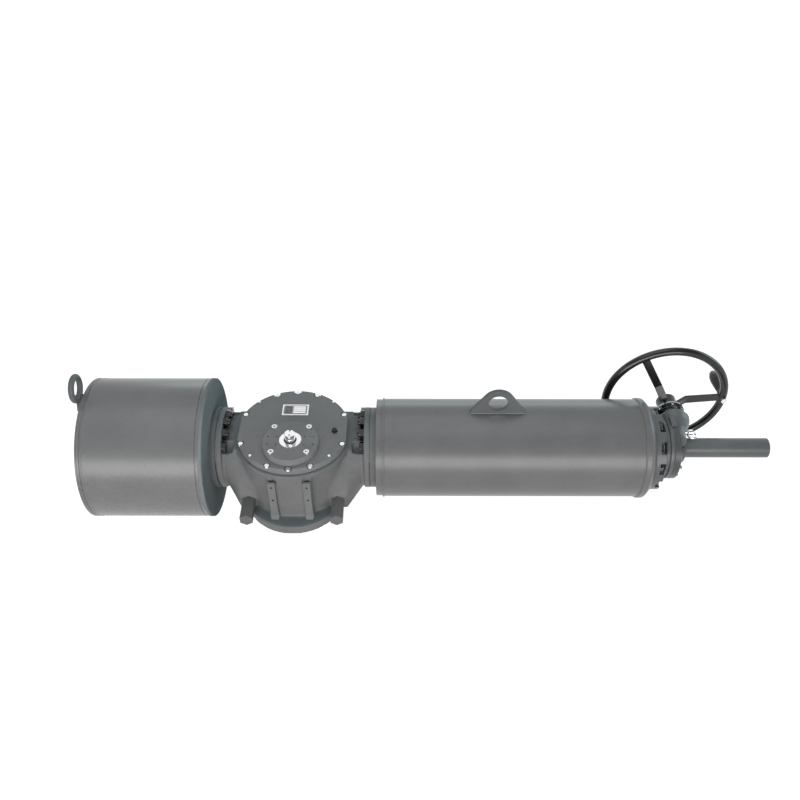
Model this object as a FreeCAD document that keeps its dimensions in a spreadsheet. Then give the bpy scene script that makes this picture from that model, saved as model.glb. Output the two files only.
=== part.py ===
import FreeCAD, Part
import math
import os

import Sketcher

# Spring-return scotch yoke actuator for a quarter-turn valve.
# The frame has its origin in the middle of the valve flange's bottom face, +Z up along the
# output shaft and +X along the cylinder. Sizes are millimetres.

Vector = FreeCAD.Vector

doc = FreeCAD.newDocument("Actuator")
sheet = doc.addObject("Spreadsheet::Sheet", "Sizes")

# Driving sizes: name, millimetres (or a count, or degrees), what it is.
SIZES = [
    ("axis_height", 110, "cylinder axis above the valve face"),
    ("yoke_radius", 100, "cylinder axis behind the output shaft"),
    ("run_gap", 0.05, "radial running gap of a shaft in its bush"),
    ("side_gap", 0.5, "gap beside parts that pass each other"),
    ("valve_flange_dia", 294, "valve mounting flange"),
    ("valve_flange_thick", 29, "valve mounting flange"),
    ("valve_bolt_circle", 254, "flange holes for the valve"),
    ("valve_bolt_hole", 14, "hole tapped M16 in the flange"),
    ("valve_bolt_deep", 24, "hole tapped M16 in the flange"),
    ("valve_bolt_count", 8, "flange holes for the valve"),
    ("shell_centre", 70, "middle of the round housing behind the shaft"),
    ("shell_radius", 170, "outside of the round housing"),
    ("shell_wall", 12, "wall of the round housing"),
    ("shell_half_length", 157, "flat end of the housing along the cylinder"),
    ("shell_top", 196.5, "top face of the housing"),
    ("rim_height", 15, "bolting rim under the cover"),
    ("rim_inset", 12, "bolting rim inside the bolt circle"),
    ("neck_radius", 108, "round neck about the cylinder axis"),
    ("neck_flat", 80, "flat top of the neck above the cylinder axis"),
    ("hollow_half_width", 64, "hollow of the neck beside the cylinder axis"),
    ("hollow_half_height", 68, "hollow of the neck above and below the axis"),
    ("hollow_corner", 49, "rounding of the neck's hollow"),
    ("shoulder_reach", 158, "widest part of the housing's front shoulders"),
    ("shoulder_front", 60, "front of the shoulders before the output shaft"),
    ("shoulder_top", 72, "upper edge of the shoulders' front"),
    ("shoulder_low", 18, "lower edge of the shoulders' front"),
    ("neck_face", 225, "bolting face of each neck"),
    ("neck_flange_thick", 18, "flange at the end of a neck"),
    ("neck_flange_radius", 121, "flange at the end of a neck"),
    ("neck_bolt_radius", 104, "bolt circle of a neck flange"),
    ("neck_bolt_across", 30, "hexagon of a neck bolt"),
    ("neck_bolt_head", 12.5, "head height of a neck bolt"),
    ("neck_bolt_shank", 10, "radius of a neck bolt"),
    ("neck_bolt_grip", 30, "length of a neck bolt under its head"),
    ("front_panel_half", 62, "flat panel in the front of the housing"),
    ("front_panel_face", 102, "flat panel in front of the output shaft"),
    ("rail_spacing", 100, "distance between the two accessory rails"),
    ("rail_width", 21, "accessory rail"),
    ("rail_thick", 9, "accessory rail"),
    ("rail_foot", 27, "width of a rail's flared foot"),
    ("rail_arch", 13.5, "pocket above a rail"),
    ("rail_top", 176, "head of an accessory rail above the valve face"),
    ("rail_hole", 3.4, "radius of a tapped hole in a rail"),
    ("rail_hole_low", 108, "lower hole of a rail"),
    ("rail_hole_high", 160, "upper hole of a rail"),
    ("stop_offset", 130.4, "stop bolt beside the output shaft"),
    ("stop_height", 50, "stop bolt above the valve face"),
    ("stop_boss_radius", 22.5, "boss round a stop bolt"),
    ("stop_boss_face", 63, "face of the boss in front of the shaft"),
    ("stop_bolt_radius", 12, "stop bolt"),
    ("stop_cap_across", 36, "hexagon of the long stop cap"),
    ("stop_cap_length", 74, "long stop cap"),
    ("cover_radius", 163, "round cover"),
    ("cover_thick", 22, "round cover"),
    ("cover_bolt_circle", 158, "radius of the cover's bolt circle"),
    ("cover_bolt_across", 13, "hexagon of a cover bolt"),
    ("cover_bolt_head", 6.5, "head of a cover bolt"),
    ("cover_bolt_shank", 4, "radius of a cover bolt"),
    ("cover_bolt_grip", 32, "length of a cover bolt under its head"),
    ("cover_notch_radius", 10.5, "spot face round a cover bolt"),
    ("cover_notch_deep", 8, "spot face below the cover's top"),
    ("rim_hole_deep", 19, "tapped holes in the housing's rim"),
    ("dowel_radius", 4, "dowel screw in the cover"),
    ("dowel_deep", 10, "dowel screw in the housing's rim"),
    ("pad_radius", 80, "accessory pad"),
    ("pad_thick", 21, "accessory pad"),
    ("pad_screw_place", 50, "pad screw beside each axis"),
    ("pad_screw", 5, "radius of a pad screw"),
    ("pad_hole", 2.1, "radius of a hole tapped M5"),
    ("pad_hole_deep", 12, "depth of the tapped holes"),
    ("pad_row_pitch", 30, "hole rows of the accessory pattern"),
    ("pad_short_pitch", 80, "inner pair of the accessory pattern"),
    ("pad_long_pitch", 130, "outer pair of the accessory pattern"),
    ("plate_length", 78, "nameplate"),
    ("plate_width", 46, "nameplate"),
    ("plate_thick", 1.2, "nameplate"),
    ("plate_middle", 148, "nameplate behind the shaft"),
    ("vent_x", 122, "vent plug beside the shaft"),
    ("vent_y", 57, "vent plug behind the shaft"),
    ("vent_radius", 7.5, "vent plug"),
    ("hub_radius", 60, "lower journal of the yoke"),
    ("hub_bore", 35, "bore for the valve stem"),
    ("hub_key_width", 20, "keyway in the bore"),
    ("hub_key_deep", 4.9, "keyway in the bore"),
    ("hub_bottom", 2, "yoke above the valve face"),
    ("lower_bush_wall", 8, "lower bearing bush"),
    ("upper_journal", 45, "upper journal of the yoke"),
    ("upper_bush_wall", 7, "upper bearing bush"),
    ("arm_gap", 27, "half the opening between the yoke's arms"),
    ("arm_thick", 18, "one arm of the yoke"),
    ("arm_half_width", 41, "arm beside its slot's middle"),
    ("arm_reach", 168, "end of an arm from the output shaft"),
    ("slot_start", 74, "closed end of the slot from the output shaft"),
    ("roller_radius", 18, "roller on the yoke pin"),
    ("slot_play", 8.6, "free space on each side of the roller in its slot"),
    ("pin_radius", 14, "yoke pin"),
    ("block_half_length", 40, "guide block along the cylinder axis"),
    ("block_half_height", 25, "guide block above and below the axis"),
    ("block_front", 30, "guide block in front of the axis"),
    ("guide_offset", 45, "guide bar behind the cylinder axis"),
    ("guide_radius", 11, "guide bar"),
    ("guide_lug_radius", 17, "lug of the guide block"),
    ("stroke", 200, "travel of the piston"),
    ("rod_radius", 18, "spring rod and piston rod"),
    ("bush_wall", 7, "rod bushes"),
    ("bush_length", 30, "rod bushes"),
    ("can_radius", 208, "spring canister"),
    ("can_wall", 8, "spring canister"),
    ("can_length", 356.5, "spring canister"),
    ("can_plate", 10, "end plates of the canister"),
    ("hub_flange_step", 18, "thickness of the canister's hub flange"),
    ("spring_coil_radius", 150, "mean radius of the power spring"),
    ("spring_wire", 8.5, "radius of the spring's wire"),
    ("spring_turns", 5, "turns of the power spring"),
    ("pusher_radius", 172, "spring pusher plate"),
    ("pusher_thick", 16, "spring pusher plate"),
    ("pusher_clear", 9, "pusher from the canister's front plate"),
    ("eye_rise", 28, "middle of the lifting eye above the canister's rim"),
    ("eye_ring", 34, "middle radius of the lifting eye"),
    ("eye_section", 8.5, "radius of the eye's section"),
    ("eye_stand", 13, "lifting eye before the end plate"),
    ("eye_foot_radius", 27, "round foot of the lifting eye"),
    ("adapter_radius", 120.4, "ring between neck and cylinder"),
    ("adapter_thick", 17.6, "ring between neck and cylinder"),
    ("head_radius", 145.5, "front head of the cylinder"),
    ("head_thick", 18.4, "front head of the cylinder"),
    ("head_spigot", 20, "part of the head inside the tube"),
    ("bore_radius", 140, "cylinder bore"),
    ("tube_wall", 7.3, "cylinder tube"),
    ("tube_length", 759, "cylinder tube"),
    ("tube_bead", 2.3, "bead round the tube's front end"),
    ("piston_start", 239, "piston from the front end of the tube, at rest"),
    ("piston_thick", 40, "piston"),
    ("piston_gap", 0.3, "piston in its bore"),
    ("bulkhead_start", 300, "inner bulkhead from the tube's front end"),
    ("bulkhead_thick", 30, "inner bulkhead"),
    ("tail_reach", 260, "plain tail rod behind the piston"),
    ("spindle_radius", 15, "threaded override spindle"),
    ("spindle_back", 20, "free end of the spindle before the closed pipe end, at rest"),
    ("end_bead_radius", 151.5, "rounded shoulder of the end head"),
    ("end_bead_width", 16, "straight part of the shoulder"),
    ("end_head_thick", 37, "end head outside the tube"),
    ("crown_radius", 126, "notched ring that carries the gearbox"),
    ("crown_thick", 28, "notched ring that carries the gearbox"),
    ("crown_floor", 12, "floor of the notches from the ring's left face"),
    ("crown_notch", 20, "notch round a bolt of the ring"),
    ("crown_bolt_radius", 113, "bolt circle of the notched ring"),
    ("crown_bolt_shank", 5, "radius of a bolt in the ring"),
    ("crown_bolt_deep", 12, "bolt's depth in the end head"),
    ("crown_bolt_across", 17, "hexagon of a bolt in the ring"),
    ("crown_bolt_head", 10, "head of a bolt in the ring"),
    ("case_radius", 93, "gearbox flange"),
    ("case_thick", 35, "gearbox body along the cylinder axis"),
    ("case_waist", 10, "waist between the notched ring and the gearbox"),
    ("case_waist_radius", 74, "waist between the notched ring and the gearbox"),
    ("case_seam", 1.5, "depth of the groove at the gearbox's joint"),
    ("case_cover_thick", 21, "rim of the gearbox cover"),
    ("case_bolt_radius", 84, "bolt circle of the gearbox"),
    ("case_bolt_shank", 4, "radius of a gearbox bolt"),
    ("case_bolt_across", 13, "hexagon of a gearbox bolt"),
    ("cover_reach", 82, "end face of the gearbox cover from the notched ring"),
    ("worm_reach", 56, "worm axis from the notched ring"),
    ("worm_rise", 55, "worm axis above the spindle"),
    ("worm_case_radius", 50, "housing round the worm"),
    ("worm_case_front", 64, "front end of the worm's housing"),
    ("worm_case_back", 164, "back end of the worm's housing"),
    ("input_ring_place", 196, "bright ring at the input, behind the output shaft"),
    ("input_neck_radius", 28, "sleeve between the worm's housing and the ring"),
    ("input_ring_radius", 43.5, "bright ring at the input"),
    ("input_ring_thick", 6, "bright ring at the input"),
    ("input_shaft", 10, "radius of the input shaft"),
    ("wheel_teeth", 32, "teeth of the worm wheel"),
    ("gear_module", 2.5, "module of the worm drive"),
    ("wheel_face", 22, "width of the worm wheel's teeth"),
    ("tooth_thin", 2.2, "tooth and thread thickness at the pitch line"),
    ("wheel_hub_radius", 30, "journals of the worm wheel"),
    ("wheel_hub_left", 29, "left end of the worm wheel's hub"),
    ("wheel_hub_right", 23, "right end of the worm wheel's hub"),
    ("wheel_bearing_wall", 5, "bearings of the worm wheel"),
    ("wheel_bore", 24, "bore of the worm wheel"),
    ("nut_clear", 1.5, "nut half from the spindle when open"),
    ("bearing_width", 11, "gearbox bearings"),
    ("bearing_wall", 9, "bearings of the worm shaft"),
    ("cover_pipe_radius", 29.7, "cover pipe over the spindle"),
    ("cover_pipe_wall", 4, "cover pipe over the spindle"),
    ("cover_pipe_reach", 340, "closed end of the cover pipe from the notched ring"),
    ("rim_radius", 183, "middle radius of the handwheel's rim"),
    ("rim_section", 12.5, "radius of the rim's section"),
    ("rim_place", 269.5, "rim plane behind the output shaft"),
    ("wheel_boss_radius", 30, "boss of the handwheel"),
    ("wheel_boss_length", 40, "boss of the handwheel"),
    ("spoke_width", 24, "spoke of the handwheel"),
    ("spoke_thick", 7, "spoke of the handwheel"),
    ("grip_length", 100, "spinner grip"),
    ("grip_radius", 16, "spinner grip at its belly"),
    ("grip_pin", 5, "radius of the grip's pin"),
    ("lever_y", 124, "declutch lever behind the output shaft"),
    ("lever_z", 152, "declutch lever above the valve face"),
    ("lever_shaft", 6, "radius of the declutch lever's shaft"),
    ("lever_stand", 43.5, "declutch lever from the worm axis"),
    ("lever_hub_width", 12, "hub of the declutch lever"),
    ("lever_ring", 12, "middle radius of the lever's ring"),
    ("lever_ring_section", 3.5, "radius of the ring's section"),
    ("lug_place", 597, "lifting lug along the cylinder"),
    ("lug_half_base", 80, "half the length of the lifting lug's foot"),
    ("lug_thick", 12, "lifting lug"),
    ("lug_round", 46, "rounded head of the lifting lug"),
    ("lug_hole", 28.5, "hole of the lifting lug"),
    ("lug_hole_height", 185, "hole of the lifting lug above the cylinder axis"),
    ("port_radius", 7.5, "air port tapped G 3/8"),
    ("port_boss", 17, "boss of the air port"),
    ("port_boss_height", 14, "boss of the air port"),
    ("shaft_radius", 15, "top of the position shaft"),
    ("shaft_body", 20, "position shaft in the cover"),
    ("shaft_rise", 28, "position shaft above the pad"),
    ("retainer_radius", 31.5, "bright ring round the position shaft"),
    ("retainer_thick", 3, "bright ring round the position shaft"),
    ("seal_radius", 18.5, "lip seal round the position shaft"),
]


class Formula:
    """A size with both its number and the sheet expression that it comes from."""

    def __init__(self, text, number):
        self.text = text
        self.number = float(number)

    def joined(self, sign, other, number):
        return Formula("(%s %s %s)" % (self.text, sign, other.text), number)

    def __add__(self, other):
        other = formula(other)
        return self.joined("+", other, self.number + other.number)

    def __sub__(self, other):
        other = formula(other)
        return self.joined("-", other, self.number - other.number)

    def __mul__(self, other):
        other = formula(other)
        return self.joined("*", other, self.number * other.number)

    def __truediv__(self, other):
        other = formula(other)
        return self.joined("/", other, self.number / other.number)

    def __radd__(self, other):
        return formula(other) + self

    def __rsub__(self, other):
        return formula(other) - self

    def __rmul__(self, other):
        return formula(other) * self

    def __neg__(self):
        return Formula("(0 - %s)" % self.text, -self.number)


def formula(value):
    """A plain number or a Formula, as a Formula."""
    if isinstance(value, Formula):
        return value
    return Formula(repr(float(value)), value)


class Sizes:
    """The driving sizes by name."""


size = Sizes()
for row, (alias, number, meaning) in enumerate(SIZES, 1):
    sheet.set("A%d" % row, meaning)
    sheet.set("B%d" % row, str(number))
    sheet.setAlias("B%d" % row, alias)
    setattr(size, alias, Formula("Sizes." + alias, number))
doc.recompute()

pieces = []

ALONG = {
    "Z": FreeCAD.Rotation(),
    "X": FreeCAD.Rotation(Vector(0, 1, 0), 90),
    "Y": FreeCAD.Rotation(Vector(1, 0, 0), -90),
    "-Y": FreeCAD.Rotation(Vector(1, 0, 0), 90),
    "-X": FreeCAD.Rotation(Vector(0, 1, 0), -90),
    "-Z": FreeCAD.Rotation(Vector(1, 0, 0), 180),
}


def bind(thing, **sizes):
    """Set number properties and tie them to the sheet."""
    for name, value in sizes.items():
        value = formula(value)
        whole = name == "Occurrences"
        setattr(thing, name, int(value.number) if whole else value.number)
        thing.setExpression(name, value.text)
    return thing


def place(thing, x=0, y=0, z=0, turn=None):
    """Put an object at x, y, z with its base tied to the sheet."""
    spots = [formula(x), formula(y), formula(z)]
    base = Vector(*[spot.number for spot in spots])
    thing.Placement = FreeCAD.Placement(base, turn or FreeCAD.Rotation())
    for letter, spot in zip("xyz", spots):
        thing.setExpression("Placement.Base." + letter, spot.text)
    return thing


def rod(name, radius, length, x=0, y=0, z=0, along="Z"):
    """A plain cylinder that starts at x, y, z."""
    thing = bind(doc.addObject("Part::Cylinder", name), Radius=radius, Height=length)
    return place(thing, x, y, z, ALONG[along])


def block(name, low, high):
    """A box between two corners."""
    spans = [formula(b) - a for a, b in zip(low, high)]
    thing = bind(doc.addObject("Part::Box", name), Length=spans[0], Width=spans[1], Height=spans[2])
    return place(thing, *low)


def hexagon(name, across, height, x=0, y=0, z=0, along="Z"):
    """A six-sided prism, sized across its flats."""
    thing = doc.addObject("Part::Prism", name)
    thing.Polygon = 6
    bind(thing, Circumradius=formula(across) / math.sqrt(3), Height=height)
    return place(thing, x, y, z, ALONG[along])


def cone(name, radius, top_radius, length, x=0, y=0, z=0, along="Z"):
    """A cone frustum that starts at x, y, z."""
    thing = bind(doc.addObject("Part::Cone", name), Radius1=radius, Radius2=top_radius, Height=length)
    return place(thing, x, y, z, ALONG[along])


def fuse(name, parts):
    """One solid of several."""
    thing = doc.addObject("Part::MultiFuse", name)
    thing.Shapes = parts
    return thing


def common(name, parts):
    """What several solids share."""
    thing = doc.addObject("Part::MultiCommon", name)
    thing.Shapes = parts
    return thing


def cut(name, base, tools):
    """A solid less its tools."""
    thing = doc.addObject("Part::Cut", name)
    thing.Base = base
    thing.Tool = tools[0] if len(tools) == 1 else fuse(name + "_tools", tools)
    return thing


def group(name, parts):
    """Separate solids that share one node."""
    thing = doc.addObject("Part::Compound", name)
    thing.Links = parts
    return thing


def keep(label, thing):
    """Name a finished sub-part, which also names its file."""
    thing.Label = label
    pieces.append(thing)
    return thing


def origin_part(body, role):
    """A plane or axis of a body's own origin."""
    return [part for part in body.Origin.OriginFeatures if part.Role == role][0]


def outline(body, name, role, points):
    """A closed sketch of straight lines whose corners are tied to the sheet."""
    sketch = body.newObject("Sketcher::SketchObject", name)
    sketch.AttachmentSupport = [(origin_part(body, role), "")]
    sketch.MapMode = "FlatFace"
    corners = [(formula(a), formula(b)) for a, b in points]
    spots = [Vector(a.number, b.number, 0) for a, b in corners]
    for start, end in zip(spots, spots[1:] + spots[:1]):
        sketch.addGeometry(Part.LineSegment(start, end), False)
    count = len(corners)
    for index in range(count):
        sketch.addConstraint(Sketcher.Constraint("Coincident", index, 2, (index + 1) % count, 1))
    for index, (a, b) in enumerate(corners):
        for kind, value in (("DistanceX", a), ("DistanceY", b)):
            number = sketch.addConstraint(Sketcher.Constraint(kind, -1, 1, index, 1, value.number))
            sketch.setExpression("Constraints[%d]" % number, value.text)
    return sketch


def turned(name, points, x=0, y=None, z=None):
    """A part turned about the cylinder axis, from (place along X, radius) corners."""
    body = doc.addObject("PartDesign::Body", name)
    sketch = outline(body, name + "_profile", "XY_Plane", points)
    turning = body.newObject("PartDesign::Revolution", name + "_turning")
    turning.Profile = sketch
    turning.ReferenceAxis = (sketch, ["H_Axis"])
    turning.Angle = 360
    return place(body, x, size.yoke_radius if y is None else y, size.axis_height if z is None else z)


def upright(name, points, x=0, y=0, z=0):
    """A part turned about a vertical axis, from (radius, height) corners."""
    body = doc.addObject("PartDesign::Body", name)
    sketch = outline(body, name + "_profile", "XZ_Plane", points)
    turning = body.newObject("PartDesign::Revolution", name + "_turning")
    turning.Profile = sketch
    turning.ReferenceAxis = (sketch, ["V_Axis"])
    turning.Angle = 360
    return place(body, x, y, z)


def ring(name, outer, inner, start, end):
    """A plain ring about the cylinder axis."""
    return turned(name, [(start, inner), (end, inner), (end, outer), (start, outer)])


def plate(name, role, points, thick, x=0, y=0, z=0, turn=None, middle=False):
    """A plate of an outline, padded along its plane's normal."""
    body = doc.addObject("PartDesign::Body", name)
    sketch = outline(body, name + "_outline", role, points)
    pad = body.newObject("PartDesign::Pad", name + "_pad")
    pad.Profile = sketch
    bind(pad, Length=thick)
    pad.Midplane = middle
    return place(body, x, y, z, turn)


def cylinder_axis_rod(name, radius, start, end):
    """A plain bar on the cylinder axis."""
    return rod(name, radius, formula(end) - start, start, size.yoke_radius, size.axis_height, "X")


def circle_places(radius, degrees, y=None, z=None):
    """Places on a circle about the cylinder axis, as (y, z), from the +Y side upwards."""
    y = size.yoke_radius if y is None else y
    z = size.axis_height if z is None else z
    return [
        (y + radius * math.cos(math.radians(a)), z + radius * math.sin(math.radians(a))) for a in degrees
    ]


def hex_bolt(name, across, head, shank, grip, x, y, z, along):
    """A hexagon bolt whose head starts at x, y, z and stands along the given direction."""
    back = {"Z": "-Z", "-Z": "Z", "X": "-X", "-X": "X", "Y": "-Y", "-Y": "Y"}[along]
    top = hexagon(name + "_head", across, head, x, y, z, along)
    stem = rod(name + "_stem", shank, grip, x, y, z, back)
    return fuse(name, [top, stem])


axis_y = size.yoke_radius
axis_z = size.axis_height
cover_top = size.shell_top + size.cover_thick
pad_top = cover_top + size.pad_thick
shaft_top = pad_top + size.shaft_rise

# Housing
# A cast box round the yoke: a round shell on the valve flange, a bolting rim on top, two
# hollow necks along the cylinder axis, a flat front panel and two bosses for the stop bolts.


def shell_slab(name, radius, half_length, low, high):
    """A slice of the round shell, cut flat at both ends."""
    disc = rod(name + "_disc", radius, formula(high) - low, 0, size.shell_centre, low)
    trim = block(
        name + "_trim",
        (-formula(half_length), size.shell_centre - radius, low),
        (half_length, size.shell_centre + radius, high),
    )
    return common(name, [disc, trim])


def neck_section(name, half_width, half_height, corner, start, end):
    """A straight bar of the neck's rounded section."""
    body = doc.addObject("PartDesign::Body", name)
    corners = [
        (-half_width, -half_height),
        (half_width, -half_height),
        (half_width, half_height),
        (-half_width, half_height),
    ]
    sketch = outline(body, name + "_section", "YZ_Plane", corners)
    pad = body.newObject("PartDesign::Pad", name + "_pad")
    pad.Profile = sketch
    bind(pad, Length=formula(end) - start)
    doc.recompute()
    edges = []
    for index, edge in enumerate(pad.Shape.Edges, 1):
        first, last = edge.Vertexes[0].Point, edge.Vertexes[-1].Point
        if abs(first.x - last.x) > 1:
            edges.append("Edge%d" % index)
    rounding = body.newObject("PartDesign::Fillet", name + "_rounding")
    rounding.Base = (pad, edges)
    bind(rounding, Radius=corner)
    return place(body, start, axis_y, axis_z)


def loft(name, stations):
    """A body drawn through outlines that stand across the cylinder axis, each at its x."""
    body = doc.addObject("PartDesign::Body", name)
    sketches = []
    for index, (x, points) in enumerate(stations):
        sketch = outline(body, "%s_station_%d" % (name, index), "YZ_Plane", points)
        x = formula(x)
        sketch.AttachmentOffset = FreeCAD.Placement(Vector(0, 0, x.number), FreeCAD.Rotation())
        sketch.setExpression("AttachmentOffset.Base.z", x.text)
        sketches.append(sketch)
    doc.recompute()
    skin = body.newObject("PartDesign::AdditiveLoft", name + "_skin")
    skin.Profile = sketches[0]
    skin.Sections = sketches[1:]
    skin.Ruled = True
    return body


shell_inner = size.shell_radius - size.shell_wall
shell_inner_half = size.shell_half_length - size.shell_wall
neck_root = size.shell_half_length - size.shell_wall
rim_floor = size.shell_top - size.rim_height - 9
housing_outer = [
    rod("valve_flange", size.valve_flange_dia / 2, size.valve_flange_thick),
    shell_slab("shell", size.shell_radius - 3, size.shell_half_length, 15, size.shell_top),
    shell_slab(
        "bolting_rim",
        size.shell_radius + 3,
        size.shell_half_length,
        size.shell_top - size.rim_height,
        size.shell_top,
    ),
    block(
        "front_panel",
        (-size.front_panel_half, -size.front_panel_face, 15),
        (size.front_panel_half, 0, size.shell_top - size.rim_height),
    ),
    common(
        "necks",
        [
            cylinder_axis_rod("neck_barrel", size.neck_radius, -size.neck_face, size.neck_face),
            block(
                "neck_height",
                (-size.neck_face, axis_y - size.neck_radius, axis_z - size.neck_radius),
                (size.neck_face, axis_y + size.neck_radius, axis_z + size.neck_flat),
            ),
        ],
    ),
    cylinder_axis_rod(
        "neck_flange_left",
        size.neck_flange_radius,
        -size.neck_face,
        -size.neck_face + size.neck_flange_thick,
    ),
    cylinder_axis_rod(
        "neck_flange_right",
        size.neck_flange_radius,
        size.neck_face - size.neck_flange_thick,
        size.neck_face,
    ),
]
flat_z = axis_z + size.neck_flat
flat_front = math.sqrt(size.neck_radius.number**2 - size.neck_flat.number**2)
neck_line = circle_places(size.neck_radius, [157.5, 180, 202.5, 225, 247.5, 270])
shoulder_foot = [
    (-size.shoulder_front, size.shoulder_top),
    (-size.shoulder_front, size.shoulder_low),
    (-size.shoulder_front / 2, size.shoulder_low - 10),
    (axis_y, size.shoulder_low - 14),
]
for side, sign in (("left", -1), ("right", 1)):
    housing_outer.append(
        loft(
            "shoulder_" + side,
            [
                (sign * (size.neck_face - size.neck_flange_thick),
                 [(axis_y, flat_z), (axis_y - flat_front, flat_z)] + neck_line),
                (sign * size.shoulder_reach,
                 [(axis_y, flat_z), (axis_y - 92, flat_z), (axis_y - 120, axis_z + 33),
                  (axis_y - 143, axis_z - 7)] + shoulder_foot),
                (sign * (size.shoulder_reach - 48),
                 [(axis_y, flat_z), (axis_y - 120, flat_z), (axis_y - 142, axis_z + 33),
                  (axis_y - 156, axis_z - 7)] + shoulder_foot),
            ],
        )
    )
    housing_outer.append(
        rod(
            "stop_boss_" + side,
            size.stop_boss_radius,
            size.stop_boss_face + 10,
            sign * size.stop_offset,
            -size.stop_boss_face,
            size.stop_height,
            "Y",
        )
    )
housing_tools = [
    shell_slab("shell_hollow", shell_inner, shell_inner_half, size.valve_flange_thick, rim_floor),
    shell_slab(
        "shell_mouth",
        size.cover_bolt_circle - size.rim_inset,
        shell_inner_half - size.rim_inset + 3,
        rim_floor - 5,
        size.shell_top + 5,
    ),
    neck_section(
        "neck_hollow",
        size.hollow_half_width,
        size.hollow_half_height,
        size.hollow_corner,
        -size.neck_face - 5,
        size.neck_face + 5,
    ),
    rod("flange_bore", size.hub_radius + size.lower_bush_wall, size.valve_flange_thick + 20, 0, 0, -10),
]
for index in range(8):
    turn = math.radians(22.5 + 45 * index)
    housing_tools.append(
        rod(
            "valve_hole_%d" % index,
            size.valve_bolt_hole / 2,
            size.valve_bolt_deep + 10,
            size.valve_bolt_circle / 2 * math.cos(turn),
            size.valve_bolt_circle / 2 * math.sin(turn),
            -10,
        )
    )
for side, sign in (("left", -1), ("right", 1)):
    housing_tools.append(
        rod(
            "stop_hole_" + side,
            size.stop_bolt_radius,
            size.stop_boss_face + 60,
            sign * size.stop_offset,
            -size.stop_boss_face - 5,
            size.stop_height,
            "Y",
        )
    )
NECK_BOLT_ANGLES = [45, 67.5, 90, 112.5, 135, 247.5, 270, 292.5]
neck_bolt_spots = circle_places(size.neck_bolt_radius, NECK_BOLT_ANGLES)
neck_back = size.neck_face - size.neck_flange_thick
for index, (y, z) in enumerate(neck_bolt_spots):
    for side, sign in (("left", -1), ("right", 1)):
        housing_tools.append(
            rod(
                "neck_hole_%s_%d" % (side, index),
                size.neck_bolt_shank,
                size.neck_flange_thick + 2,
                sign * (neck_back - 1),
                y,
                z,
                "X" if sign > 0 else "-X",
            )
        )
        housing_tools.append(
            rod(
                "head_relief_%s_%d" % (side, index),
                size.neck_bolt_across / math.sqrt(3) + size.side_gap * 2,
                34,
                sign * neck_back,
                y,
                z,
                "-X" if sign > 0 else "X",
            )
        )
for side, sign in (("left", -1), ("right", 1)):
    housing_tools.append(
        rod(
            "rail_arch_" + side,
            size.rail_arch,
            20,
            sign * size.rail_spacing / 2,
            -size.front_panel_face + 8,
            size.rail_top - 2,
            "-Y",
        )
    )
cover_angles = [90, 67.5, 112.5, 22.5, 157.5, 270, 247.5, 292.5, 202.5, 337.5]
dowel_angles = [45, 135, 225, 315]


def cover_places(angles):
    """Places on the cover's bolt circle."""
    return [
        (
            size.cover_bolt_circle * math.cos(math.radians(a)),
            size.shell_centre + size.cover_bolt_circle * math.sin(math.radians(a)),
        )
        for a in angles
    ]


for index, (x, y) in enumerate(cover_places(cover_angles)):
    housing_tools.append(
        rod("rim_hole_%d" % index, size.cover_bolt_shank, 40, x, y, size.shell_top - size.rim_hole_deep)
    )
for index, (x, y) in enumerate(cover_places(dowel_angles)):
    housing_tools.append(
        rod("rim_dowel_hole_%d" % index, size.dowel_radius, 40, x, y, size.shell_top - size.dowel_deep)
    )
keep("housing", cut("housing", fuse("housing_casting", housing_outer), housing_tools))

# Cover
# A round plate with spot faces for its bolts and a bearing boss underneath.


upper_seat = size.upper_journal + size.upper_bush_wall
boss_bottom = axis_z + size.arm_gap + size.arm_thick + 5
journal_top = size.shell_top - 4
notch_floor = cover_top - size.cover_notch_deep
cover_outer = [
    shell_slab("cover_plate", size.cover_radius, size.shell_half_length, size.shell_top, cover_top),
    rod("bearing_boss", upper_seat + 10, size.shell_top - boss_bottom, 0, 0, boss_bottom),
]
cover_tools = [
    rod("upper_bush_seat", upper_seat, journal_top + 3 - boss_bottom + 5, 0, 0, boss_bottom - 5),
    rod("shaft_hole", size.shaft_body + size.run_gap, 60, 0, 0, size.shell_top - 20),
    rod("vent_hole", size.vent_radius - 2, size.cover_thick, size.vent_x, size.vent_y, size.shell_top + 5),
]
for index, (x, y) in enumerate(cover_places(cover_angles)):
    cover_tools.append(rod("notch_%d" % index, size.cover_notch_radius, 20, x, y, notch_floor))
    cover_tools.append(rod("cover_hole_%d" % index, size.cover_bolt_shank, 60, x, y, size.shell_top - 10))
    outward = size.cover_notch_radius
    if index in (0, 5):
        sign = 1 if index == 0 else -1
        low = y if sign > 0 else y - 20
        cover_tools.append(
            block(
                "notch_mouth_%d" % index,
                (x - outward, low, notch_floor),
                (x + outward, low + 20, notch_floor + 20),
            )
        )
for index, (x, y) in enumerate(cover_places(dowel_angles)):
    cover_tools.append(rod("dowel_hole_%d" % index, size.dowel_radius, 60, x, y, size.shell_top - 10))
pad_corners = [(1, 1), (1, -1), (-1, 1), (-1, -1)]
pad_screw_spots = [(sx * size.pad_screw_place, sy * size.pad_screw_place) for sx, sy in pad_corners]
for index, (x, y) in enumerate(pad_screw_spots):
    cover_tools.append(rod("pad_screw_seat_%d" % index, size.pad_screw, 40, x, y, cover_top - 12))
keep("cover", cut("cover", fuse("cover_casting", cover_outer), cover_tools))

bolts = [
    hex_bolt(
        "cover_bolt_%d" % index,
        size.cover_bolt_across,
        size.cover_bolt_head,
        size.cover_bolt_shank,
        size.cover_bolt_grip,
        x,
        y,
        notch_floor,
        "Z",
    )
    for index, (x, y) in enumerate(cover_places(cover_angles))
]
keep("cover_bolts", group("cover_bolts", bolts))

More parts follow.
